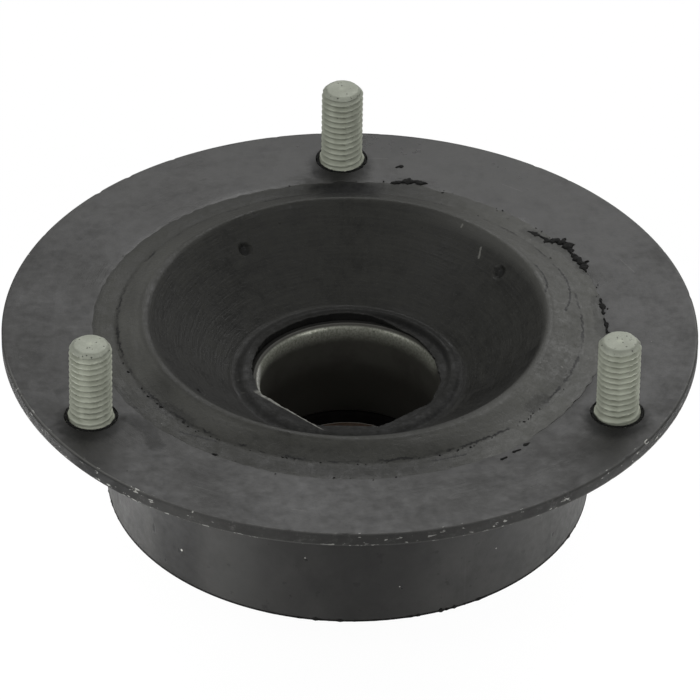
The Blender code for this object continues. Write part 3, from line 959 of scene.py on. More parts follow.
        # painted light on the flanks at the two sides, stronger on the left, with some dust
        side = flank * beside * above * (0.75 + flow.sway(1.2)) * (at["x"].rise(20.0, -20.0) * 0.45 + 0.72)
        # painted light on the right shoulder inside the crest
        shoulder = radius.rise(crest - 3.2, crest - 1.2) * at["x"].rise(10.0, 33.0) * height.rise(-1.5, 0.2)
        return share, side.most(shoulder * 0.95)

    def cut_face(self, net: Net, height: Reading, ragged: Reading) -> Reading:
        """A painted highlight on the face of the lip's straight cut on the left.

        A point's distance over the cut is its x and y times the cosine and sine of the cut's
        direction, and its place along the cut is what is left across that direction.

        Args:
            net: The material's nodes.
            height: Height over the flange, in millimetres.
            ragged: Raggedness of the face's edge, in millimetres.

        Returns:
            1 on the face and 0 off it.
        """
        at = net.place()
        facing, reach = math.radians(self.bright_cut[0]), self.bright_cut[1] / MM
        over = at["x"] * math.cos(facing) + at["y"] * math.sin(facing)
        along = at["y"] * math.cos(facing) - at["x"] * math.sin(facing)
        wider = along.rise(5.0, -8.0) * 0.30 + 0.10
        face = ((over - (reach + 0.12) + ragged * 0.3).size() / wider).rise(1.7, 0.7)
        face = face * height.band(-11.2, 0.6, 0.1) * along.band(0.2, 8.0, 1.5)
        return face * (net.noise(0.9, 3.0, 0.6).rise(0.30, 0.55) * 0.7 + 0.3)


@dataclass(frozen=True)
class Mottled:
    """A plain finish with a soft mottle of a second colour, for torn or seal rubber and the cage."""

    name: str
    colour: Colour
    second: Colour
    lumps: Band
    patches: Band
    roughness: Point
    depth: float
    gloss: float = 0.5
    rings: bool = False

    def build(self) -> Material:
        """Builds the material.

        Returns:
            The finish, whose mottle also changes its roughness and its relief.
        """
        net = Net(self.name)
        mottle = net.noise(*self.lumps)
        low, high, share = self.patches
        colour = net.mix(mottle.rise(low, high) * share, self.colour, self.second)
        relief = mottle
        if self.rings:
            relief = mottle * 0.4 + net.noise(1.0, 2.0, 0.5, net.polar(0.4, 4.0, 0.0)) * 0.4
        return net.finish(Base_Color=colour, Roughness=self.roughness[0] + mottle.sway(self.roughness[1]),
                          Specular_IOR_Level=self.gloss, Normal=net.bump(relief, self.depth))


TORN_RUBBER = Mottled("torn_rubber", (0.007, 0.007, 0.0065), (0.03, 0.03, 0.028), (4.0, 4.0, 0.7),
                      (0.6, 0.85, 0.4), (0.8, 0.3), 0.12, 0.25)
SEAL_RUBBER = Mottled("seal_rubber", (0.006, 0.0055, 0.005), (0.02, 0.018, 0.016), (0.4, 4.0, 0.6),
                      (0.4, 0.8, 0.4), (0.8, 0.2), 0.04, 0.06, rings=True)
CAGE_POLYAMIDE = Mottled("cage_plastic", (0.42, 0.33, 0.20), (0.26, 0.19, 0.11), (0.5, 4.0, 0.6),
                         (0.35, 0.75, 0.6), (0.42, 0.2), 0.05)


@dataclass(frozen=True)
class StudPlating:
    """Dull grey-green plating on rolled thread."""

    colour: Colour = (0.47, 0.495, 0.405)
    dull: Colour = (0.37, 0.39, 0.315)
    powdery: Colour = (0.56, 0.58, 0.50)
    root: Colour = (0.17, 0.18, 0.14)
    tip: Colour = (0.27, 0.285, 0.24)
    dirt: Colour = (0.03, 0.03, 0.025)
    metal: float = 0.15

    def build(self) -> Material:
        """Builds the material.

        Returns:
            The plating, with painted shade and dirt in the thread's roots, and dark specks.
        """
        net = Net("stud_plating")
        cloudy = net.noise(0.35, 3.0, 0.5)
        fine = net.noise(3.0, 4.0, 0.7)
        root = net.stored("root")
        marked = net.stored("tip_wear")
        specks = net.specks(1.3, 0.17, 0.12, 2.3).most(net.specks(0.8, 0.20, 0.42, 7.1) * marked)
        blots = net.noise(1.1, 5.0, 0.8).rise(0.68, 0.75)
        colour = net.layers(
            self.colour,
            (cloudy.rise(0.3, 0.7), self.dull),
            (fine.rise(0.5, 0.8) * 0.3, self.powdery),
            # painted shade in the thread's roots, with some dirt
            (root * 0.62, self.root),
            (marked * (fine.rise(0.3, 0.7) * 0.35 + 0.36), self.tip),
            (specks.most(blots * 0.5) * 0.85, self.dirt))
        rough = 0.56 + cloudy.sway(0.15) + fine.sway(0.15)
        return net.finish(Base_Color=colour, Roughness=rough, Metallic=self.metal,
                          Normal=net.bump(fine * 0.5 - specks * 0.5, 0.04))


@dataclass(frozen=True)
class CupSteel:
    """Drawn steel: bare and bright on the rim's rounding, dark with oil and paint below it, with painted
    shade deeper in the well and a painted highlight on the rim's left.
    """

    rim: float
    well_radius: float
    bright: Colour = (0.50, 0.51, 0.44)
    patchy: Colour = (0.22, 0.23, 0.18)
    polished: Colour = (0.96, 0.96, 0.90)
    stained: Colour = (0.05, 0.05, 0.04)
    coated: Colour = (0.062, 0.061, 0.053)
    oily: Colour = (0.032, 0.029, 0.026)
    # colour of the painted shade deep in the well
    deep: Colour = (0.036, 0.035, 0.030)
    outside: Colour = (0.004, 0.004, 0.0035)
    gloss: float = 0.12

    def build(self) -> Material:
        """Builds the material.

        Returns:
            The steel, whose bare band ends in a ragged edge a little below the rim.
        """
        net = Net("cup_steel")
        at = net.place()
        depth = self.rim / MM - at["z"]
        well = self.well_radius / MM
        ragged = net.noise(0.9, 4.0, 0.75).sway(1.2)
        lumps = net.noise(0.3, 2.0, 0.5, net.polar(3.0, 0.0, 0.0)).sway(1.8)
        inside = at["radius"].rise(well + 1.45, well + 1.2)
        outside = at["radius"].rise(well + 1.2, well + 1.3)
        bare = (depth + ragged + lumps).rise(3.8, 0.5) * depth.rise(0.12, 0.5) * inside
        bare = bare * (at["x"].rise(12.0, -14.0) * 0.35 + 0.65)
        bare = bare * at["x"].rise(16.6, 14.6).most(at["y"].rise(2.5, 7.0))
        # a painted highlight on the rim's rounding at the left
        polished = at["x"].rise(-16.4, -17.2) * at["y"].band(0.6, 3.4, 2.0) * depth.rise(2.2, 1.2) * bare
        stains = net.specks(1.2, 0.20, 0.25, 6.6).most(net.noise(1.3, 5.0, 0.8).rise(0.60, 0.70) * 0.7)
        fine = net.noise(2.2, 4.0, 0.6)
        smear = net.noise(0.22, 4.0, 0.6)
        colour = net.layers(
            self.coated,
            (smear.rise(0.4, 0.7) * 0.4, self.oily),
            # painted shade: darker deeper down the well, where the light doesn't reach
            ((depth + smear * 2.0).rise(7.0, 13.0) * 0.9, self.deep),
            (outside * 0.9, self.outside),
            (bare, net.mix(fine.rise(0.3, 0.8), self.bright, self.patchy)),
            # painted highlight on the rim's left
            (polished * fine.rise(0.2, 0.6), self.polished),
            (stains * bare * 0.75, self.stained))
        rough = 0.5 - bare * 0.16 + fine.sway(0.2) + outside * 0.35
        relief = fine * 0.4 + smear * 0.4 - stains * bare * 0.4
        return net.finish(Base_Color=colour, Roughness=rough, Metallic=bare * 0.55,
                          Specular_IOR_Level=self.gloss, Normal=net.bump(relief, 0.05))


@dataclass(frozen=True)
class RingSteel:
    """Ground bearing steel under a brown film of preserving grease, with a painted highlight round the edge
    of its land.
    """

    edge_radius: float
    colour: Colour = (0.26, 0.16, 0.115)
    steel: Colour = (0.36, 0.27, 0.21)
    # colour of the painted highlight round the land's edge
    bright: Colour = (0.90, 0.84, 0.76)

    def build(self) -> Material:
        """Builds the material.

        Returns:
            The steel, with turned grinding marks, the grease's uneven tint and a painted highlight round
            the land's edge.
        """
        net = Net("ring_steel")
        cloudy = net.noise(0.25, 4.0, 0.6)
        ground = net.noise(1.0, 2.0, 0.5, net.polar(0.6, 9.0, 9.0))
        # a painted highlight: the edge of the land where it catches the light
        rubbed_and_sheen = net.place()["radius"].band(self.edge_radius / MM - 0.15, 0.2, 0.1)
        colour = net.layers(self.colour, (cloudy.rise(0.4, 0.7), self.steel), (rubbed_and_sheen, self.bright))
        rough = 0.36 + ground.sway(0.16) + cloudy.sway(0.1)
        return net.finish(Base_Color=colour, Roughness=rough, Metallic=0.6,
                          Normal=net.bump(ground * 0.5 + cloudy * 0.3, 0.012))


@dataclass(frozen=True)
class BallSteel:
    """Lapped steel balls with a trace of grease."""

    colour: Colour = (0.60, 0.59, 0.57)
    greasy: Colour = (0.40, 0.36, 0.30)

    def build(self) -> Material:
        """Builds the material.

        Returns:
            Bright steel, faintly smeared.
        """
        net = Net("ball_steel")
        smear = net.noise(0.6, 3.0, 0.6)
        colour = net.mix(smear.rise(0.45, 0.8) * 0.5, self.colour, self.greasy)
        return net.finish(Base_Color=colour, Roughness=0.10 + smear.rise(0.4, 0.8) * 0.2, Metallic=1.0)


# Sub-assemblies


def dress(obj: Piece, material: Material, body: str,
          nodes: Sequence[str] = ()) -> None:
    """Gives a piece its material, its body and the nodes that it stands for.

    Args:
        obj: The piece.
        material: Its finish.
        body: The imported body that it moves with.
        nodes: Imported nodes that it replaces.
    """
    obj.data.materials.clear()
    obj.data.materials.append(material)
    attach(obj, body)
    if nodes:
        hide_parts(*nodes)
    log.info("%s: %d faces on %s", obj.name, len(obj.data.polygons), body)


@dataclass
class Shell:
    """The pressed flange and skirt, with its stud holes and its battered edge."""

    sheet: float = 2.6 * MM
    skirt_radius: float = 46.1 * MM
    bend_radius: float = 3.2 * MM
    edge_round: float = 0.45 * MM
    lower_edge_round: float = 0.25 * MM
    hole_radius: float = 5.0 * MM
    hole_lead: float = 0.08 * MM
    hole_columns: int = 64
    columns: int = 720
    flange_radius: float = field(init=False)
    flange_top: float = field(init=False)
    skirt_foot: float = field(init=False)

    def __post_init__(self) -> None:
        """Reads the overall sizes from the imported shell."""
        low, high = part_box("outer_shell")
        self.flange_radius = high.x
        self.flange_top = high.z
        self.skirt_foot = low.z

    def outline(self) -> Outline:
        """Section of the pressing, down its outer side from the top of the flange.

        Returns:
            The outline, with the outer edge named.
        """
        top, rim, edge = self.flange_top, self.flange_radius, self.edge_round
        under = top - self.sheet
        bend = (self.skirt_radius + self.bend_radius, under - self.bend_radius)
        foot, lower = self.skirt_foot, self.lower_edge_round
        bore = self.skirt_radius - self.sheet
        out = Outline(bend[0], top)
        out.line(rim - edge - 1.2 * MM, top, 12).line(rim - edge, top, 3)
        out.arc((rim - edge, top - edge), edge, (90, 0), 6, "edge")
        out.line(rim, under + lower, 4)
        out.arc((rim - lower, under + lower), lower, (0, -90), 4, "lower_edge")
        out.line(bend[0], under, 8)
        out.arc(bend, self.bend_radius, (90, 180), 7)
        out.line(self.skirt_radius, foot + lower, 24)
        out.arc((self.skirt_radius - lower, foot + lower), lower, (0, -90), 3)
        out.line(bore + lower, foot, 2)
        out.arc((bore + lower, foot + lower), lower, (-90, -180), 3)
        out.line(bore, bend[1], 8)
        out.arc(bend, self.bend_radius + self.sheet, (180, 96), 7)
        return out

    def knock(self, skin: Skin) -> None:
        """Knocks the flange's edge about, in place.

        Radii and heights near the edge move inwards by a random wave that is kept only above a
        level, so that the edge is plain between its knocks.

        Args:
            skin: The pressing.
        """
        upper = np.clip(ripple(skin.around, 11, 20, 170, 0.4) - 1.6, 0.0, 1.2) * 0.12 * MM
        lower = np.clip(ripple(skin.around, 29, 30, 200, 0.4) - 1.3, 0.0, 1.6) * 0.09 * MM
        edge, lower_edge = (skin.out.stretch(name) for name in ("edge", "lower_edge"))
        skin.radii[edge] -= upper
        skin.heights[edge] -= 0.6 * upper
        skin.radii[lower_edge] -= lower

    def build(self, hole_centres: Sequence[Point]) -> None:
        """Builds the shell, cuts its holes and paints it.

        Args:
            hole_centres: Where the stud holes are.
        """
        skin = Skin(self.outline(), self.columns)
        self.knock(skin)
        shell = skin.mesh("shell", Ends.RING)
        cut_away(shell, [self.hole_cutter(index, centre) for index, centre in enumerate(hole_centres)])
        keep_edges(shell, 40.0)
        paint = ShellPaint(self.flange_top, self.flange_radius, self.skirt_radius, self.sheet,
                           tuple(hole_centres))
        dress(shell, paint.build(), BODY, ["outer_shell"])

    def hole_cutter(self, index: int, centre: Point) -> Piece:
        """A plug with a small lead at the flange's top face, for one hole.

        Args:
            index: Number of the hole.
            centre: Where it is.

        Returns:
            The plug.
        """
        top, lead = self.flange_top, self.hole_lead
        out = Outline(self.hole_radius + 2.0 * lead, top + lead)
        out.line(self.hole_radius, top - lead, 2).line(self.hole_radius, top - 2.0 * self.sheet)
        return Skin(out, self.hole_columns).mesh(f"hole_cutter_{index}", Ends.POLES, centre)


def cut_away(obj: Piece, cutters: Sequence[Piece]) -> None:
    """Cuts plugs out of a piece for good, and removes them.

    Args:
        obj: The piece.
        cutters: The plugs.
    """
    for plug in cutters:
        modifier = obj.modifiers.new(plug.name, "BOOLEAN")
        modifier.operation = "DIFFERENCE"
        modifier.solver = "EXACT"
        modifier.object = plug
    graph = bpy.context.evaluated_depsgraph_get()
    cut = bpy.data.meshes.new_from_object(obj.evaluated_get(graph))
    obj.modifiers.clear()
    old = obj.data
    obj.data = cut
    cut.name = old.name
    bpy.data.meshes.remove(old)
    for plug in cutters:
        bpy.data.objects.remove(plug)


@dataclass
class Studs:
    """The three studs: tip, rolled thread, collar, splined shank and head."""

    pitch: float = 1.25 * MM
    crest_radius: float = 3.98 * MM
    root_radius: float = 3.34 * MM
    collar_radius: float = 4.4 * MM
    collar_height: float = 1.2 * MM
    spline_radius: float = 4.8 * MM
    spline_teeth: int = 18
    head_radius: float = 6.0 * MM
    head_round: float = 0.5 * MM
    sheet: float = 2.6 * MM
    gap: float = 0.3 * MM
    reach: float = 16.4 * MM
    tip_chamfer: float = 1.0 * MM
    tip_radius: float = 2.88 * MM
    tip_round: float = 0.3 * MM
    spline_depth: float = 0.35 * MM
    wear: float = 0.045 * MM
    columns: int = 72
    rows_a_turn: int = 12
    names: tuple[str, ...] = ("stud_back", "stud_left", "stud_right")

    def centre(self, name: str) -> Point:
        """Where a stud stands."""
        low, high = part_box(name)
        return (low.x + high.x) / 2.0, (low.y + high.y) / 2.0

    def thread_radius(self, heights: Array, angles: Array) -> Array:
        """Radius of the rolled thread.

        The phase of a point is its height over the pitch less its direction over a turn. The
        radius follows a rounded triangle of that phase, from the root up to the crest.

        Args:
            heights: Heights over the collar.
            angles: Directions.

        Returns:
            The radii.
        """
        phase = (heights / self.pitch - angles / TURN) % 1.0
        triangle = 1.0 - np.abs(2.0 * phase - 1.0)
        flank = np.clip((triangle - 0.14) / 0.66, 0.0, 1.0)
        flank = flank + 0.06 * np.sin(TURN * flank)
        return self.root_radius + (self.crest_radius - self.root_radius) * np.clip(flank, 0.0, 1.0)

    def outline(self, low: float, top: float) -> Outline:
        """Section of a stud, from the middle of its tip down to its head.

        Args:
            low: Height of the head's lower face.
            top: Height of the tip.

        Returns:
            The outline, with the stretches that are shaped further named.
        """
        seat = top - self.reach
        thread_foot = seat + self.collar_height
        turns = (top - self.tip_chamfer * 0.4 - thread_foot) / self.pitch
        head_top = seat - self.sheet - self.gap
        corner = self.head_radius - self.head_round
        out = Outline(0.9 * MM, top)
        out.line(self.tip_radius, top - 0.02 * MM, 5)
        out.arc((self.tip_radius, top - self.tip_round - 0.02 * MM), self.tip_round, (88, 45), 3)
        out.line(self.crest_radius, thread_foot + turns * self.pitch, 3, "chamfer")
        out.line(self.crest_radius, thread_foot, round(turns * self.rows_a_turn), "thread")
        out.line(self.collar_radius, seat - 0.3 * MM, 18, "collar")
        out.line(self.collar_radius, seat - 1.1 * MM, 2).line(self.spline_radius, seat - 1.25 * MM, 2)
        out.line(self.spline_radius, head_top, 4, "splines").line(corner, head_top, 2)
        out.arc((corner, head_top - self.head_round), self.head_round, (90, 0), 4)
        out.line(self.head_radius, low + self.head_round, 2)
        out.arc((corner, low + self.head_round), self.head_round, (0, -90), 4)
        return out.line(1.0 * MM, low, 3)

    def build_one(self, name: str, seed: int) -> Piece:
        """Builds one stud.

        The rolled thread isn't quite full everywhere: its depth below the crest is a share of the
        full one that two waves along the thread change. In the collar the thread fades as the
        square root of the share of the way down opens its radius.

        Args:
            name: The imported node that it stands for.
            seed: Seed of the turn at which its thread starts and of its knocks.

        Returns:
            The finished mesh, which stores where the roots and the worn tip are.
        """
        low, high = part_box(name)
        top, crest = high.z, self.crest_radius
        thread_foot = top - self.reach + self.collar_height
        skin = Skin(self.outline(low.z, top), self.columns)
        radii, heights, angles = skin.radii, skin.heights, skin.angles
        start = np.random.default_rng(seed).uniform(0.0, TURN)
        full = self.thread_radius(heights - thread_foot, angles + start)
        along = (heights - thread_foot) / self.pitch * TURN
        waves = np.sin(along * 0.37 + 2.0 * angles + seed) * np.cos(along * 0.21 - 3.0 * angles)
        fullness = 0.84 + 0.08 * ripple(skin.around, 80 + seed, 1, 9, 0.3) + 0.07 * waves
        thread = crest - (crest - full) * np.clip(fullness, 0.6, 1.0)
        depth = (crest - thread) / (crest - self.root_radius)
        worn = self.wear * ripple(skin.around, 40 + seed, 3, 30, 0.4)
        cone = crest - np.clip(heights - (top - self.tip_chamfer), 0.0, None) * 0.95
        root = np.zeros(radii.shape)
        for stretch in ("chamfer", "thread"):
            rows = skin.out.stretch(stretch)
            radii[rows] = np.minimum(thread, cone)[rows] + worn * (thread[rows] > self.root_radius)
            root[rows] = np.clip(depth[rows], 0.0, 1.0)
        rows = skin.out.stretch("collar")
        flare = np.clip((thread_foot - heights[rows]) / self.collar_height, 0.0, 1.0)
        swell = crest + (self.collar_radius - crest) * np.sqrt(flare)
        radii[rows] = swell - depth[rows] * (1.0 - 0.55 * flare) * 0.5 * MM + 1.6 * worn * flare
        root[rows] = depth[rows] * 0.8
        rows = skin.out.stretch("splines")
        radii[rows] -= self.spline_depth * (0.5 - 0.5 * np.cos(self.spline_teeth * angles[rows]))
        stud = skin.mesh(f"{name}_dressed", Ends.POLES, self.centre(name))
        store(stud, "root", root)
        below = (top - heights) / self.tip_chamfer
        store(stud, "tip_wear", np.clip(1.6 - below, 0.0, 1.0))
        keep_edges(stud, 50.0)
        return stud

    def build(self) -> None:
        """Builds and dresses the three studs."""
        plating = StudPlating().build()
        for seed, name in enumerate(self.names):
            dress(self.build_one(name, seed), plating, BODY, [name])


@dataclass
class Cushion:
    """The bonded rubber: film, crest, bowl, groove, trimmed lip, linings and hollow.

    A value that changes round the rim is a row of pairs of degrees and millimetres. A pin mark is
    a direction and a radius, and a straight cut is the direction it faces and its distance from the
    axis, in degrees and millimetres. The crest's pull is its direction, half width and distance.
    """

    shell: Shell
    gap: float = 0.3 * MM
    film_reach: float = -0.6 * MM
    film_lift: float = 0.03 * MM
    film_thickness: float = 0.2 * MM
    film_bury: float = 0.15 * MM
    film_dip: float = 0.02 * MM
    tongues: tuple[Band, ...] = ((1.0, 74.0, 2.6), (0.4, 24.0, 7.0), (0.5, -54.0, 4.0))
    crease_radius: float = 44.6 * MM
    crest_radius: float = 39.2 * MM
    crest_height: float = 2.4 * MM
    crest_round: float = 1.8 * MM
    crest_pull: Band = (-14.0, 28.0, 1.3 * MM)
    foot_radius: float = 23.1 * MM
    foot_height: float = -10.7 * MM
    lip_height: float = -11.2 * MM
    lip_top_at: Path = (
        (0, -11.35), (20, -11.5), (50, -11.5), (80, -11.15), (170, -11.1), (190, -11.15), (360, -11.35))
    lip_under_at: Path = (
        (0, -11.9), (66, -11.95), (80, -12.9), (145, -12.9), (155, -11.95), (360, -11.9))
    opening_at: Path = (
        (0, 17.3), (8, 17.1), (25, 17.45), (40, 17.9), (55, 18.3), (66, 19.0), (78, 19.9), (90, 20.3),
        (105, 20.1), (120, 19.75), (145, 19.5), (158, 19.1), (166, 18.9), (176, 18.5), (184, 18.2),
        (196, 18.1), (344, 18.1), (360, 17.3))
    dip_at: Path = (
        (0, 18.3), (8, 18.6), (25, 19.4), (61, 20.1), (78, 20.3), (90, 20.4), (120, 19.9), (166, 19.1),
        (190, 18.7), (250, 18.0), (335, 17.6), (360, 18.3))
    dip_depth_at: Path = (
        (0, 0.15), (20, 0.35), (50, 0.5), (70, 0.5), (82, 0.1), (190, 0.0), (330, 0.05), (360, 0.15))
    ridge_at: Path = (
        (0, 19.6), (24, 20.5), (63, 21.1), (90, 21.1), (120, 20.8), (168, 20.2), (188, 20.0),
        (250, 19.1), (334, 18.7), (360, 19.6))
    ridge_height_at: Path = (
        (0, -11.05), (60, -10.95), (90, -10.85), (120, -10.85), (180, -10.95), (270, -11.1), (360, -11.05))
    valley_at: Path = (
        (0, 21.5), (24, 22.0), (65, 22.4), (95, 22.4), (167, 21.9), (184, 22.0), (250, 21.5),
        (340, 21.0), (360, 21.5))
    valley_height_at: Path = (
        (0, -11.45), (24, -11.45), (60, -11.3), (90, -11.05), (120, -11.1), (165, -11.4), (200, -11.5),
        (270, -11.5), (330, -11.5), (360, -11.45))
    bowl_sag: float = 0.4 * MM
    dimple_radius: float = 1.35 * MM
    dimple_depth: float = 0.75 * MM
    dimple_stretch: float = 1.37
    dimples: Path = (
        (124.5, 34.1), (33.0, 34.9), (214.5, 34.1), (304.5, 34.1))
    cuts: Path = (
        (-135.6, 16.4), (-92.2, 16.6), (-52.1, 16.6), (-18.7, 17.35), (3.0, 17.4))
    cavity_roof: float = -17.5 * MM
    cavity_arch: float = 7.5 * MM
    skirt_lining: float = 2.2 * MM
    cup_lining: float = 1.8 * MM
    lining_inset: float = 0.6 * MM
    tube_radius: float = 19.2 * MM
    cup_radius: float = 23.5 * MM
    cup_bend: float = 1.8 * MM
    shoulder: float = -29.8 * MM
    lining_end: float = -38.5 * MM
    columns: int = 576

    def level(self, height: Union[float, Array]) -> Union[float, Array]:
        """A height over the flange as a height in the part's frame."""
        return self.shell.flange_top + height

    def outline(self) -> Outline:
        """Section of the rubber, from the film's edge round by the underside to the bowl.

        Returns:
            The outline, with the stretches that are shaped further named.
        """
        level = self.level
        shell = self.shell
        bend = (shell.skirt_radius + shell.bend_radius, level(-shell.sheet - shell.bend_radius))
        bore = shell.skirt_radius - shell.sheet - self.gap
        foot = shell.skirt_foot + self.lining_inset
        edge = bend[0] + self.film_reach
        film_top = level(self.film_lift + self.film_thickness)
        lining = bore - self.skirt_lining
        inner = self.cup_radius + self.gap + self.cup_lining
        middle, half = (lining + inner) / 2.0, (lining - inner) / 2.0 - 1.0 * MM
        crest = (self.crest_radius, level(self.crest_height - self.crest_round))
        out = Outline(edge, film_top)
        out.line(edge + 0.05 * MM, level(-self.film_bury), 1, "film_edge")
        out.arc(bend, shell.bend_radius + shell.sheet, (97, 180), 7)
        out.line(bore, foot + 0.2 * MM, 4).line(bore - 0.2 * MM, foot, 1)
        out.line(lining + 0.3 * MM, foot, 2).line(lining, foot + 0.3 * MM, 1)
        spring = level(self.cavity_roof - self.cavity_arch)
        out.line(middle + half, spring, 4)
        out.arc((middle, spring), (half, self.cavity_arch), (0, 180), 14)
        out.line(inner, level(self.lining_end + 0.5 * MM), 4)
        out.line(inner - 0.4 * MM, level(self.lining_end), 1)
        cup, shoulder, bend_round = self.cup_radius + self.gap, self.shoulder + self.gap, self.cup_bend
        tube = self.tube_radius + self.gap
        out.line(cup, level(self.lining_end)).line(cup, level(shoulder - bend_round), 3)
        out.line(cup - bend_round, level(shoulder), 2).line(tube, level(shoulder + bend_round), 2)
        out.line(tube, level(self.lip_height - 0.9 * MM), 4, "inner_wall")
        lip = level(self.lip_height)
        for name, steps in (("lip_under", 3), ("lip_edge", 4), ("lip_corner", 1), ("lip_top", 6),
                            ("ridge_rise", 6), ("ridge_fall", 8)):
            out.line(self.tube_radius, lip, steps, name)
        out.line(self.foot_radius, level(self.foot_height), 8, "foot")
        lean = math.radians(135)
        out.bow(crest[0] + self.crest_round * math.cos(lean), crest[1] + self.crest_round * math.sin(lean),
                self.bowl_sag, 46, "bowl")
        out.arc(crest, self.crest_round, (135, 66), 12, "crest")
        out.line(self.crease_radius, film_top, 12, "flank")
        out.line(edge, film_top, 12, "film")
        return out

    def film_edge(self, angles: Array) -> Array:
        """How far the film's edge wanders outwards, in metres, at each direction.

        Slow waves and fine raggedness, with three wider tongues where the film was torn, each
        given by its reach in millimetres, its direction and its half width in degrees.

        Args:
            angles: Directions.

        Returns:
            The offsets.
        """
        slow = 0.22 * ripple(angles, 3, 2, 9, 0.7)
        fine = 0.10 * ripple(angles, 4, 25, 120, 0.3)
        torn = sum(reach * bump_at(angles, facing, width) for reach, facing, width in self.tongues)
        return (slow + fine + torn) * MM

    def opening_radius(self, angles: Array) -> Array:
        """Radius of the lip's opening: the round opening, cut short by each straight cut.

        A cut at a distance d across the direction a lies at d over the cosine of the angle from a.
        The smallest radius counts, blended at the corners by minus the log of summed exponentials.

        Args:
            angles: Directions.

        Returns:
            The radii.
        """
        smooth = 5.0 / MM
        shares = np.exp(-smooth * self.around(self.opening_at, angles))
        for degrees, distance in self.cuts:
            facing = np.cos(angles - math.radians(degrees))
            shares = shares + np.exp(-smooth * distance * MM / np.maximum(facing, 0.05))
        radius = -np.log(shares) / smooth
        return radius + 0.06 * MM * ripple(angles, 8, 10, 120, 0.4)

    def shape(self, skin: Skin) -> Array:
        """Shapes the turned surface in place: ragged film, trimmed lip, dimples and soft waves.

        Args:
            skin: The rubber's surface.

        Returns:
            How deep in a pin mark each point lies, 0 to 1.
        """
        out, radii, heights = skin.out, skin.radii, skin.heights
        edge = self.film_edge(skin.around)
        film, crest, flank = (out.stretch(name) for name in ("film", "crest", "flank"))
        radii[film] += out.share("film") ** 2 * edge
        heights[film] -= out.share("film") ** 2 * (self.film_thickness + self.film_lift + self.film_dip)
        radii[0] += edge
        heights[0] = self.level(-self.film_dip)
        radii[out.stretch("film_edge")] += edge
        self.trim_lip(skin)
        pressed = self.press_dimples(skin)
        wave = 0.10 * MM * ripple(skin.around, 15, 2, 6, 0.5) + 0.6 * MM * bump_at(skin.around, 90.0, 32.0)
        heights[crest] += out.arch("crest") * wave
        self.narrow_crest(skin)
        heights[flank] += out.arch("flank") * 0.12 * MM * ripple(skin.around, 16, 3, 14, 0.5)
        return pressed

    def narrow_crest(self, skin: Skin) -> None:
        """Draws the crest inwards on one side, in place, where the moulding isn't quite round.

        The whole crest moves by the same bell of the direction. The bowl's wall follows with the
        square of the share of the way up, and the flank with the share of the way back.

        Args:
            skin: The rubber's surface.
        """
        facing, half_width, most = self.crest_pull
        pull = most * bump_at(skin.around, facing, half_width)
        out = skin.out
        parts = {"bowl": out.share("bowl") ** 2, "crest": 1.0, "flank": 1.0 - out.share("flank")}
        for name, part in parts.items():
            skin.radii[out.stretch(name)] -= part * pull

    def trim_lip(self, skin: Skin) -> None:
        """Shapes the rim's surroundings, in place: trimmed lip, dip, ridge and valley.

        Radii and heights come from values that change with the direction. The lip runs from its cut
        edge to the dip, half a cosine wave rises to the ridge and another falls to the valley, and a
        power of the share of the way rises to the bowl's foot.

        Args:
            skin: The rubber's surface.
        """
        angles = skin.around
        opening = self.opening_radius(angles)
        top = self.level(self.around(self.lip_top_at, angles)) + 0.03 * MM * ripple(angles, 9, 4, 30, 0.8)
        under = self.level(self.around(self.lip_under_at, angles))
        dip = np.maximum(self.around(self.dip_at, angles), opening + 0.1 * MM)
        dip_height = top - self.around(self.dip_depth_at, angles)
        ridge = np.maximum(self.around(self.ridge_at, angles), dip + 0.3 * MM)
        ridge_height = self.level(self.around(self.ridge_height_at, angles))
        valley = self.around(self.valley_at, angles)
        valley_height = self.level(self.around(self.valley_height_at, angles))
        inner = self.tube_radius + self.gap
        corner = 0.1 * MM
        wall = skin.out.stretch("inner_wall")
        skin.heights[wall] += skin.out.share("inner_wall") * (under - skin.heights[wall][-1])
        edges = (
            ("lip_under", inner, opening, under, under, 1.0),
            ("lip_edge", opening, opening - 0.4 * corner, under, top - corner, 1.0),
            ("lip_corner", opening, opening + corner, top, top, 1.0),
            ("lip_top", opening + corner, dip, top, dip_height, 1.5),
            ("ridge_rise", dip, ridge, dip_height, ridge_height, None),
            ("ridge_fall", ridge, valley, ridge_height, valley_height, None),
            ("foot", valley, self.foot_radius, valley_height, self.level(self.foot_height), 1.6),
        )
        for name, near, far, low, high, power in edges:
            rows, share = skin.out.stretch(name), skin.out.share(name)
            climb = share**power if power else 0.5 - 0.5 * np.cos(math.pi * share)
            skin.radii[rows] = near + share * (far - near)
            skin.heights[rows] = low + climb * (high - low)

    def around(self, values: Path, angles: Array) -> Array:
        """Values in metres at each direction, from pairs of degrees and millimetres."""
        degrees, sizes = zip(*values)
        return np.interp(np.degrees(angles) % 360.0, degrees, sizes) * MM

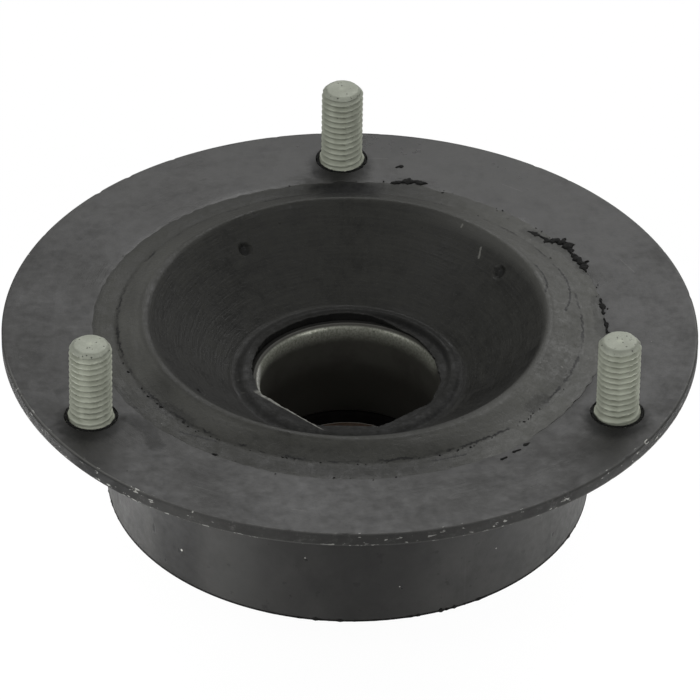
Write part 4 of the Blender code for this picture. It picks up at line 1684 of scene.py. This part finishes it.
    def press_dimples(self, skin: Skin) -> Array:
        """Presses the four pin marks into the bowl's wall, each with a faint raised rim.

        A mark is an ellipse that the slope of the wall makes round. Its depth falls along a
        hyperbolic tangent of the distance from its middle, and its rim is a narrow bell.

        Args:
            skin: The rubber's surface.

        Returns:
            How deep in a mark each point lies, 0 to 1.
        """
        rows = skin.out.stretch("bowl")
        pressed = np.zeros(skin.radii.shape)
        x, y = np.moveaxis(skin.points()[rows, :, :2], -1, 0)
        for degrees, distance in self.dimples:
            a = math.radians(degrees)
            along = (x * math.cos(a) + y * math.sin(a) - distance * MM) * self.dimple_stretch
            across = -x * math.sin(a) + y * math.cos(a)
            away = np.hypot(along, across) / self.dimple_radius
            sunk = 0.5 - 0.5 * np.tanh((away - 0.9) * 7.0)
            moved = self.dimple_depth * sunk - 0.12 * MM * np.exp(-0.5 * ((away - 1.15) / 0.14) ** 2)
            skin.heights[rows] -= 0.73 * moved
            skin.radii[rows] += 0.68 * moved
            pressed[rows] += sunk
        return pressed

    def build(self) -> None:
        """Builds and dresses the cushion."""
        skin = Skin(self.outline(), self.columns)
        pressed = self.shape(skin)
        rubber = skin.mesh("rubber", Ends.RING)
        store(rubber, "pressed", pressed)
        keep_edges(rubber, 48.0)
        facing, reach = self.cuts[0]
        finish = MouldedRubber(self.shell.flange_top, self.crest_radius, self.crease_radius,
                               (facing, reach * MM))
        dress(rubber, finish.build(), BODY, ["rubber_body"])


@dataclass(frozen=True)
class Tear:
    """A torn flake of the rubber film: its path over the flange and its half widths, in millimetres."""

    path: Path
    half_widths: tuple[float, ...]
    thickness: float = 0.30


@dataclass(frozen=True)
class Crumbs:
    """Small crumbs of rubber strewn along a ring, sizes in millimetres and directions in degrees."""

    count: int
    radius: float
    spread: float
    height: float
    largest: float
    angles: Point = (0.0, 360.0)


@dataclass
class TornFilm:
    """Torn flakes and crumbs of the rubber film, and the flash under the skirt."""

    shell: Shell
    tears: tuple[Tear, ...] = (
        Tear(((9.2, 48.0), (12.7, 48.5), (16.6, 47.8)), (0.5, 0.9, 0.4), 0.35),
        Tear(((10.4, 53.4), (11.3, 53.9), (12.1, 53.8)), (0.3, 0.6, 0.2), 0.2),
        Tear(((35.0, 31.2), (36.2, 30.6), (37.6, 29.4)), (0.30, 0.55, 0.50), 0.3),
        Tear(((37.3, 29.6), (38.8, 28.2), (39.9, 27.3)), (0.40, 0.60, 0.75), 0.35),
        Tear(((39.2, 27.4), (40.4, 28.0), (41.4, 27.8)), (0.50, 0.95, 0.60), 0.45),
        Tear(((41.2, 27.9), (42.5, 26.6), (43.1, 25.0)), (0.60, 1.05, 0.55), 0.45),
        Tear(((43.0, 25.3), (43.3, 23.6), (43.9, 22.2)), (0.55, 0.45, 0.60), 0.4),
        Tear(((43.7, 22.5), (44.7, 21.1), (45.3, 19.7)), (0.55, 0.95, 0.75), 0.45),
        Tear(((45.2, 20.0), (45.6, 18.6), (45.8, 17.2)), (0.80, 0.60, 0.14), 0.35),
        Tear(((45.4, 20.6), (46.6, 21.0)), (0.38, 0.12), 0.3),
        Tear(((41.6, 28.3), (42.6, 28.6)), (0.32, 0.12), 0.3),
        Tear(((38.6, 28.0), (38.2, 26.8)), (0.40, 0.14), 0.3),
        Tear(((47.9, 8.6), (48.3, 6.0), (48.2, 3.2)), (0.2, 0.45, 0.3), 0.3),
        Tear(((48.3, 2.2), (48.7, -0.4), (48.6, -3.0)), (0.2, 0.35, 0.15), 0.3),
        Tear(((26.6, -43.2), (28.0, -42.2)), (0.25, 0.35), 0.2),
        Tear(((28.9, -40.9), (30.6, -39.9)), (0.3, 0.2), 0.2),
        Tear(((31.0, -38.7), (32.4, -37.8)), (0.35, 0.15), 0.2),
        Tear(((-26.8, -40.6), (-25.6, -41.1)), (0.2, 0.2), 0.2),
    )
    crumbs: tuple[Crumbs, ...] = (
        Crumbs(30, 48.8, 0.35, 0.05, 0.24),
        Crumbs(34, 48.8, 0.6, 0.05, 0.36, (0.0, 85.0)),
        Crumbs(120, 44.2, 0.25, 0.28, 0.24),
        Crumbs(160, 44.2, 0.35, 0.28, 0.34, (195.0, 335.0)),
    )
    step: float = 0.22
    widening: float = 1.25
    collar_inner: float = 4.45 * MM
    collar_outer: float = 4.78 * MM
    collar_columns: int = 120
    flash_columns: int = 900

    def flake(self, tear: Tear, seed: int) -> Arrays:
        """A flake swept along its path, with ragged sides and a lumpy back.

        Each station is a flattened ring: its two sides stand off the path by the half width times
        a random factor, and its height is the thickness times another.

        Args:
            tear: The flake's path and sizes.
            seed: Seed of its raggedness.

        Returns:
            The flake's arrays, in metres.
        """
        random = np.random.default_rng(seed)
        path = np.array(tear.path)
        lengths = np.concatenate([[0.0], np.cumsum(np.hypot(*np.diff(path, axis=0).T))])
        stations = np.linspace(0.0, lengths[-1], max(5, int(lengths[-1] / self.step)))
        x, y = (np.interp(stations, lengths, path[:, axis]) for axis in (0, 1))
        width = self.widening * np.interp(stations, lengths, tear.half_widths)
        along = np.stack([np.gradient(x), np.gradient(y)], axis=1)
        along /= np.hypot(along[:, 0], along[:, 1])[:, None]
        across = np.stack([along[:, 1], -along[:, 0]], axis=1)
        ends = np.sqrt(np.clip(1.0 - np.abs(2.0 * stations / lengths[-1] - 1.0) ** 6, 0.02, 1.0))
        turn = np.arange(10) * TURN / 10
        ragged = random.uniform(0.3, 1.3, (len(stations), 2))
        ragged[1:-1] = 0.25 * ragged[:-2] + 0.5 * ragged[1:-1] + 0.25 * ragged[2:]
        ragged *= 1.0 + 0.45 * np.sin(stations * 2.6 + random.uniform(0.0, TURN))[:, None]
        side = np.where(np.cos(turn)[None, :] > 0.0, ragged[:, :1], ragged[:, 1:])
        out = np.cos(turn)[None, :] * (width * ends)[:, None] * side
        lump = random.uniform(0.5, 1.2, (len(stations), 10))
        rise = np.clip(np.sin(turn), 0.0, 1.0)[None, :] * tear.thickness * ends[:, None] * lump
        points = np.stack([x[:, None] + out * across[:, :1], y[:, None] + out * across[:, 1:],
                           rise + 0.02 + np.zeros_like(out)], axis=-1) * MM
        points[..., 2] += self.shell.flange_top
        return grid_arrays(points, Ends.POLES)

    def crumb(self, radius: float, angle: float, height: float, size: float,
              random: np.random.Generator) -> Arrays:
        """One crumb, a lumpy flattened ball on the flange.

        Args:
            radius: Where it lies, in millimetres from the axis.
            angle: Where it lies, in radians.
            height: Its middle's height over the flange, in millimetres.
            size: Its half length, in millimetres.
            random: Source of its shape.

        Returns:
            The crumb's arrays, in metres.
        """
        polar = np.radians([60.0, 20.0, -20.0, -60.0])
        turn = np.arange(7) * TURN / 7
        lump = random.uniform(0.6, 1.3, (4, 7))
        flat = random.uniform(0.25, 0.6)
        local_x = np.cos(polar)[:, None] * np.cos(turn) * size * lump
        local_y = np.cos(polar)[:, None] * np.sin(turn) * size * lump * random.uniform(0.35, 0.8)
        up = np.sin(polar)[:, None] * size * flat * lump
        twist = angle + math.pi / 2.0 + random.uniform(-0.7, 0.7)
        x = radius * math.cos(angle) + local_x * math.cos(twist) - local_y * math.sin(twist)
        y = radius * math.sin(angle) + local_x * math.sin(twist) + local_y * math.cos(twist)
        points = np.stack([x, y, height + up], axis=-1) * MM
        points[..., 2] += self.shell.flange_top
        return grid_arrays(points, Ends.POLES)

    def strew(self, crumbs: Crumbs, seed: int) -> list[Arrays]:
        """The crumbs of one ring.

        Args:
            crumbs: How many, where and how large.
            seed: Seed of their places.

        Returns:
            Their arrays.
        """
        random = np.random.default_rng(seed)
        made = []
        for _ in range(crumbs.count):
            angle = math.radians(random.uniform(*crumbs.angles))
            radius = crumbs.radius + random.normal() * crumbs.spread
            size = crumbs.largest * random.uniform(0.25, 1.0) ** 2
            made.append(self.crumb(radius, angle, crumbs.height, size, random))
        return made

    def collar(self, centre: Point, seed: int) -> Arrays:
        """The ragged black ring of torn paint and rubber at a stud's foot.

        Args:
            centre: Where the stud stands.
            seed: Seed of its raggedness.

        Returns:
            The ring's arrays.
        """
        top = self.shell.flange_top
        out = Outline(self.collar_inner, top - 0.1 * MM)
        out.line(self.collar_inner, top + 0.05 * MM, 2)
        out.line(self.collar_outer, top + 0.12 * MM, 4, "lap")
        out.line(self.collar_outer + 0.15 * MM, top - 0.05 * MM, 2, "outside")
        out.line(self.collar_inner + 0.2 * MM, top - 0.2 * MM, 2)
        skin = Skin(out, self.collar_columns)
        rags = np.clip(ripple(skin.around, seed, 3, 50, 0.35), -1.2, 2.0)
        lap = out.stretch("lap")
        share = np.linspace(0.0, 1.0, lap.stop - lap.start)[:, None]
        skin.radii[lap] += share * 0.15 * MM * rags
        skin.radii[out.stretch("outside")] += 0.17 * MM * rags
        skin.heights[lap] += 0.05 * MM * ripple(skin.around, seed + 50, 5, 55, 0.2)
        return grid_arrays(skin.points(centre)[::-1], Ends.RING)

    def flash(self) -> Piece:
        """The thin ragged flash of rubber that laps the skirt's lower edge.

        Returns:
            Its mesh.
        """
        foot = self.shell.skirt_foot
        outer = self.shell.skirt_radius
        bore = outer - self.shell.sheet
        out = Outline(outer - 0.3 * MM, foot - 0.03 * MM)
        out.line(outer + 0.02 * MM, foot + 0.30 * MM, 2, "lap")
        out.line(outer + 0.06 * MM, foot - 0.05 * MM, 2, "outside")
        out.line(bore + 0.3 * MM, foot - 0.12 * MM, 4, "under")
        out.line(bore - 0.1 * MM, foot - 0.02 * MM, 1)
        skin = Skin(out, self.flash_columns)
        rags = np.clip(ripple(skin.around, 51, 20, 260, 0.25), 0.0, 3.0)
        slow = np.clip(ripple(skin.around, 52, 3, 14, 0.4) + 0.4, 0.0, 2.0)
        skin.heights[out.stretch("lap")] += 0.10 * MM * rags * slow
        skin.radii[out.stretch("outside")] += 0.07 * MM * rags * slow
        skin.heights[out.stretch("under")] -= 0.05 * MM * rags
        return skin.mesh("skirt_flash", Ends.RING)

    def build(self, stud_centres: Sequence[Point]) -> None:
        """Builds and dresses the flakes, the rings at the studs and the flash.

        Args:
            stud_centres: Where the studs stand.
        """
        finish = TORN_RUBBER.build()
        parts = [self.flake(tear, 70 + index) for index, tear in enumerate(self.tears)]
        for index, crumbs in enumerate(self.crumbs):
            parts += self.strew(crumbs, 90 + index)
        parts += [self.collar(centre, 60 + index) for index, centre in enumerate(stud_centres)]
        dress(raw_mesh("torn_film", *joined(parts)), finish, BODY)
        dress(self.flash(), finish, BODY)


@dataclass
class Cup:
    """The drawn steel cup: rim with its rounded lead, well with its taper, pocket and crimp."""

    shell: Shell
    well_radius: float = 17.0 * MM
    wall: float = 2.2 * MM
    lead_width: float = 1.2 * MM
    lead_height: float = 2.2 * MM
    seat_radius: float = 17.5 * MM
    taper: float = -23.6 * MM
    taper_half: float = 3.0 * MM
    pocket_radius: float = 21.3 * MM
    seat: float = -32.25 * MM
    pocket_floor: float = -44.6 * MM
    bend: float = 1.8 * MM
    edge_round: float = 0.3 * MM
    crimp_radius: float = 19.1 * MM
    columns: int = 256
    rim: float = field(init=False)
    foot: float = field(init=False)

    def __post_init__(self) -> None:
        """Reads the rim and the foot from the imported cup."""
        low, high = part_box("bearing_cup")
        self.rim = high.z
        self.foot = low.z

    def build(self) -> None:
        """Builds and dresses the cup."""
        top = self.shell.flange_top
        tube, cup = self.well_radius + self.wall, self.pocket_radius + self.wall
        shoulder = top + self.seat + self.wall
        bend, edge = self.bend, self.edge_round
        out = Outline(tube - edge, self.rim)
        out.arc((tube - edge, self.rim - edge), edge, (90, 0), 4)
        out.line(tube, shoulder + bend, 10)
        out.arc((tube + 0.8 * bend, shoulder + bend), (0.8 * bend, bend * 0.55), (180, 250), 5)
        out.line(cup - bend, shoulder, 2)
        out.arc((cup - bend, shoulder - bend), bend, (90, 0), 6)
        out.line(cup, self.foot + bend, 8)
        out.arc((cup - bend, self.foot + bend), bend, (0, -90), 8)
        out.line(self.crimp_radius + edge, self.foot, 4)
        out.arc((self.crimp_radius + edge, self.foot + edge), edge, (-90, -180), 4)
        for radius, height, steps in (
                (self.crimp_radius, self.pocket_floor, 2), (self.pocket_radius, self.pocket_floor, 3),
                (self.pocket_radius, self.seat, 5), (self.seat_radius, self.seat, 4),
                (self.seat_radius, self.taper - self.taper_half, 8),
                (self.well_radius, self.taper + self.taper_half, 8)):
            out.line(radius, top + height, steps)
        out.line(self.well_radius, self.rim - self.lead_height, 12)
        out.arc((self.well_radius + self.lead_width, self.rim - self.lead_height),
                (self.lead_width, self.lead_height), (180, 92), 12)
        piece = Skin(out, self.columns).mesh("cup", Ends.RING)
        keep_edges(piece, 50.0)
        dress(piece, CupSteel(self.rim, self.well_radius).build(), BODY, ["bearing_cup"])


@dataclass
class Bearing:
    """The ball bearing: two rings, two seals, nine balls and their cage."""

    columns: int = 192
    corner: float = 0.6 * MM
    pitch_radius: float = 15.5 * MM
    land_offset: float = 1.8 * MM
    race_radius: float = 3.375 * MM
    seal_seat: float = 0.9 * MM
    seal_depth: float = 1.5 * MM
    lip_clearance: float = 0.06 * MM
    ball_columns: int = 48
    bore: float = 10.0 * MM
    middle: float = field(init=False)
    half: float = field(init=False)
    outer_radius: float = field(init=False)
    race_opening: float = field(init=False)

    def __post_init__(self) -> None:
        """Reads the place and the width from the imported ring, and where a land cuts the race."""
        low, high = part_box("bearing_outer_ring")
        self.middle = (low.z + high.z) / 2.0
        self.half = (high.z - low.z) / 2.0
        self.outer_radius = high.x
        self.race_opening = math.degrees(math.acos(self.land_offset / self.race_radius))

    def outer_ring(self) -> Piece:
        """The outer ring.

        Returns:
            Its mesh.
        """
        m, h, c = self.middle, self.half, self.corner
        radius, opening = self.outer_radius, self.race_opening
        land = self.pitch_radius + self.land_offset
        seat, depth = land + self.seal_seat, h - self.seal_depth
        out = Outline(radius - c, m + h)
        out.arc((radius - c, m + h - c), c, (90, 0), 5).line(radius, m - h + c, 3)
        out.arc((radius - c, m - h + c), c, (0, -90), 5)
        out.line(seat, m - h, 3).line(seat, m - depth, 2).line(land, m - depth)
        out.line(land, m - self.race_radius * math.sin(math.radians(opening)), 2)
        out.arc((self.pitch_radius, m), self.race_radius, (-opening, opening), 14)
        out.line(land, m + depth, 2).line(seat, m + depth).line(seat, m + h, 2)
        return self.ring_mesh("outer_race", out)

    def inner_ring(self) -> Piece:
        """The inner ring.

        Returns:
            Its mesh.
        """
        m, h, c = self.middle, self.half, self.corner
        small, opening = c / 2.0, self.race_opening
        land = self.pitch_radius - self.land_offset
        out = Outline(land - small, m + h)
        out.arc((land - small, m + h - small), small, (90, 0), 4)
        out.line(land, m + self.race_radius * math.sin(math.radians(opening)), 2)
        out.arc((self.pitch_radius, m), self.race_radius, (180 - opening, 180 + opening), 14)
        out.line(land, m - h + small, 2).arc((land - small, m - h + small), small, (0, -90), 4)
        out.line(self.bore + c, m - h, 3).arc((self.bore + c, m - h + c), c, (-90, -180), 5)
        out.line(self.bore, m + h - c, 5).arc((self.bore + c, m + h - c), c, (180, 90), 5)
        return self.ring_mesh("inner_race", out)

    def ring_mesh(self, name: str, out: Outline) -> Piece:
        """A turned ring from its section.

        Args:
            name: Name of the piece.
            out: The section.

        Returns:
            The ring's mesh.
        """
        ring = Skin(out, self.columns).mesh(name, Ends.RING)
        keep_edges(ring, 40.0)
        return ring

    def seal(self, node: str, side: int) -> Piece:
        """A seal: a dished rubber disc with a bead at its edge and a thin lip at the ring.

        Args:
            node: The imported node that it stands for.
            side: 1 above and -1 below.

        Returns:
            Its mesh.
        """
        low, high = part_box(node)
        outside, inside = (high.z, low.z) if side > 0 else (low.z, high.z)
        inner, outer = self.pitch_radius - self.land_offset + self.lip_clearance, high.x
        steps = ((outer, None, 2), (inner, None, 8), (inner, 0.3, 2), (inner + 0.5 * MM, 0.1, 3),
                 (inner + 0.9 * MM, 0.25, 3), (outer - 1.1 * MM, 0.25, 5), (outer - 0.8 * MM, 0.0, 3),
                 (outer - 0.15 * MM, 0.0, 3))
        out = Outline(outer, outside - 0.15 * MM * side)
        for radius, depth, count in steps:
            out.line(radius, inside if depth is None else outside - depth * MM * side, count)
        return self.ring_mesh(f"{node}_dressed", out if side > 0 else out.reversed())

    def ball(self, index: int) -> Piece:
        """A ball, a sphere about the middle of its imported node.

        Args:
            index: Number of the ball.

        Returns:
            Its mesh.
        """
        low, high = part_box(f"ball_{index}")
        centre, radius = (low + high) / 2.0, (high.z - low.z) / 2.0
        pole = math.radians(88.0)
        out = Outline(radius * math.cos(pole), centre.z + radius * math.sin(pole))
        out.arc((0.0, centre.z), radius, (88, -88), self.ball_columns // 2)
        return Skin(out, self.ball_columns).mesh(f"ball_{index}_dressed", Ends.POLES, (centre.x, centre.y))

    def build(self) -> None:
        """Builds and dresses every piece of the bearing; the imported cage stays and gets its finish."""
        steel = RingSteel(self.pitch_radius - self.land_offset).build()
        rubber = SEAL_RUBBER.build()
        bright = BallSteel().build()
        dress(self.outer_ring(), steel, BODY, ["bearing_outer_ring"])
        dress(self.inner_ring(), steel, "inner_ring", ["bearing_inner_ring"])
        dress(self.seal("upper_seal", 1), rubber, BODY, ["upper_seal"])
        dress(self.seal("lower_seal", -1), rubber, BODY, ["lower_seal"])
        balls = [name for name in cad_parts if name.startswith("ball_") and name != "ball_cage"]
        for index in range(1, len(balls) + 1):
            dress(self.ball(index), bright, "ball_set", [f"ball_{index}"])
        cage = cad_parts["ball_cage"]
        cage.data.materials.clear()
        cage.data.materials.append(CAGE_POLYAMIDE.build())


# Stage


@dataclass
class Stage:
    """Floor, lights, world and the camera at the photograph's angle."""

    shell: Shell
    distance: float = 1.452
    elevation: float = 35.28
    azimuth: float = 2.18
    roll: float = 0.89
    focal_pixels: float = 7662.0
    frame_pixels: float = 700.0
    aim: Point = (349.6, 326.1)
    floor_side: float = 6.0
    floor_tone: float = 0.60
    floor_glow: float = 1.04
    floor_glow_share: float = 0.93
    world_light: float = 0.32
    softboxes: tuple[tuple[str, Point, float, Point, float], ...] = (
        ("back_softbox", (172.0, 48.0), 1.1, (0.9, 0.5), 3.6),
        ("back_right_softbox", (150.0, 30.0), 1.1, (0.45, 0.4), 1.7),
        ("left_softbox", (-62.0, 22.0), 1.2, (0.35, 1.1), 4.4),
        ("right_softbox", (44.0, 22.0), 1.2, (0.30, 1.1), 3.5))
    table_lamps: tuple[tuple[str, float, float], ...] = (
        ("left_table_lamp", -86.0, 0.065), ("left_front_table_lamp", -52.0, 0.030),
        ("right_front_table_lamp", 46.0, 0.018), ("right_table_lamp", 84.0, 0.050))
    table_lamp_size: float = 0.045
    table_lamp_reach: float = 0.105
    table_lamp_height: float = 0.038

    def camera(self) -> None:
        """Places the camera so that the flange's middle falls on the aimed pixel."""
        e, a, roll = (math.radians(angle) for angle in (self.elevation, self.azimuth, self.roll))
        middle = self.frame_pixels / 2.0
        back = Vector((-math.sin(a) * math.cos(e), -math.cos(a) * math.cos(e), math.sin(e)))
        forward = -back
        right = forward.cross(Vector((0.0, 0.0, 1.0))).normalized()
        up = right.cross(forward)
        aside = (self.aim[0] - middle) / self.focal_pixels
        above = (self.aim[1] - middle) / self.focal_pixels
        look = (forward - right * aside + up * above).normalized()
        across = (right - look * right.dot(look)).normalized()
        over = across.cross(look)
        turned_across = across * math.cos(roll) + over * math.sin(roll)
        turned_over = over * math.cos(roll) - across * math.sin(roll)
        data = bpy.data.cameras.new("camera")
        data.sensor_width = 36.0
        data.lens = self.focal_pixels * data.sensor_width / self.frame_pixels
        data.clip_start, data.clip_end = 0.05, 20.0
        camera = bpy.data.objects.new("camera", data)
        bpy.context.scene.collection.objects.link(camera)
        axes = Matrix((turned_across, turned_over, -look)).transposed().to_4x4()
        target = Vector((0.0, 0.0, self.shell.flange_top))
        camera.matrix_world = Matrix.Translation(target + back * self.distance) @ axes
        bpy.context.scene.camera = camera

    def lamp(self, name: str, shape: str, size: Point, power: float, place: Vector) -> Piece:
        """A lamp that shines straight down.

        Args:
            name: Name of the lamp.
            shape: Kind of its face.
            size: Its width and height, in metres.
            power: Its power, in watts.
            place: Where it stands.

        Returns:
            The lamp.
        """
        data = bpy.data.lights.new(name, "AREA")
        data.shape = shape
        data.size, data.size_y = size
        data.energy = power
        lamp = bpy.data.objects.new(name, data)
        lamp.location = place
        bpy.context.scene.collection.objects.link(lamp)
        return lamp

    def softbox(self, name: str, direction: Point, distance: float, size: Point, power: float) -> None:
        """A soft rectangular lamp that faces the part.

        Args:
            name: Name of the lamp.
            direction: Azimuth from the front, to the right, and elevation, in degrees.
            distance: How far it stands, in metres.
            size: Its width and height, in metres.
            power: Its power, in watts.
        """
        a, e = (math.radians(angle) for angle in direction)
        away = Vector((math.sin(a) * math.cos(e), -math.cos(a) * math.cos(e), math.sin(e)))
        place = Vector((0.0, 0.0, self.shell.flange_top)) + away * distance
        lamp = self.lamp(name, "RECTANGLE", size, power, place)
        lamp.rotation_euler = away.to_track_quat("Z", "Y").to_euler()

    def table_lamp(self, name: str, azimuth: float, power: float) -> None:
        """A small lamp under the flange's level that brightens one patch of the floor.

        The skirt reflects the floor in front of it, so each patch gives the skirt a soft upright band.

        Args:
            name: Name of the lamp.
            azimuth: Its direction from the front, to the right, in degrees.
            power: Its power, in watts.
        """
        a, reach = math.radians(azimuth), self.table_lamp_reach
        place = Vector((math.sin(a) * reach, -math.cos(a) * reach, self.table_lamp_height))
        lamp = self.lamp(name, "DISK", (self.table_lamp_size,) * 2, power, place)
        lamp.visible_camera = False

    def world(self) -> None:
        """A pale world that lights softly and shows white behind the part."""
        world = bpy.data.worlds.new("world")
        world.use_nodes = True
        bpy.context.scene.world = world
        tree = world.node_tree
        background = tree.nodes["Background"]
        background.inputs["Color"].default_value = (1.0, 1.0, 1.0, 1.0)
        path = tree.nodes.new("ShaderNodeLightPath")
        strength = tree.nodes.new("ShaderNodeMapRange")
        strength.inputs["To Min"].default_value = self.world_light
        strength.inputs["To Max"].default_value = 1.0
        tree.links.new(path.outputs["Is Camera Ray"], strength.inputs["Value"])
        tree.links.new(strength.outputs["Result"], background.inputs["Strength"])

    def floor(self) -> None:
        """A plain pale floor that keeps a trace of the part's shadow."""
        side = self.floor_side
        corners = np.array([(-side, -side, 0.0), (side, -side, 0.0), (side, side, 0.0), (-side, side, 0.0)])
        floor = raw_mesh("floor", corners, np.arange(4), np.array([4]))
        net = Net("floor")
        net.finish(Base_Color=(self.floor_tone,) * 3, Roughness=0.9)
        glow = net.node("ShaderNodeEmission", {}, {"Color": (1.0, 1.0, 1.0), "Strength": self.floor_glow})
        path = net.node("ShaderNodeLightPath", {}, {})
        share = Reading(net, path.outputs["Is Camera Ray"]) * self.floor_glow_share
        both = net.node("ShaderNodeMixShader", {}, {0: share, 1: net.shader.outputs[0], 2: glow.outputs[0]})
        net.tree.links.new(both.outputs[0], net.tree.nodes["Material Output"].inputs["Surface"])
        floor.data.materials.append(net.material)

    def build(self) -> None:
        """Sets the whole stage."""
        self.camera()
        for softbox in self.softboxes:
            self.softbox(*softbox)
        for table_lamp in self.table_lamps:
            self.table_lamp(*table_lamp)
        self.world()
        self.floor()
        bpy.context.scene.view_settings.view_transform = "Standard"


def main() -> None:
    """Builds the part's looks and its stage."""
    logging.basicConfig(level=logging.INFO, format="%(message)s")
    shell = Shell()
    studs = Studs()
    centres = [studs.centre(name) for name in studs.names]
    shell.build(centres)
    studs.build()
    Cushion(shell).build()
    TornFilm(shell).build(centres)
    Cup(shell).build()
    Bearing().build()
    Stage(shell).build()


if __name__ == "__main__":
    main()
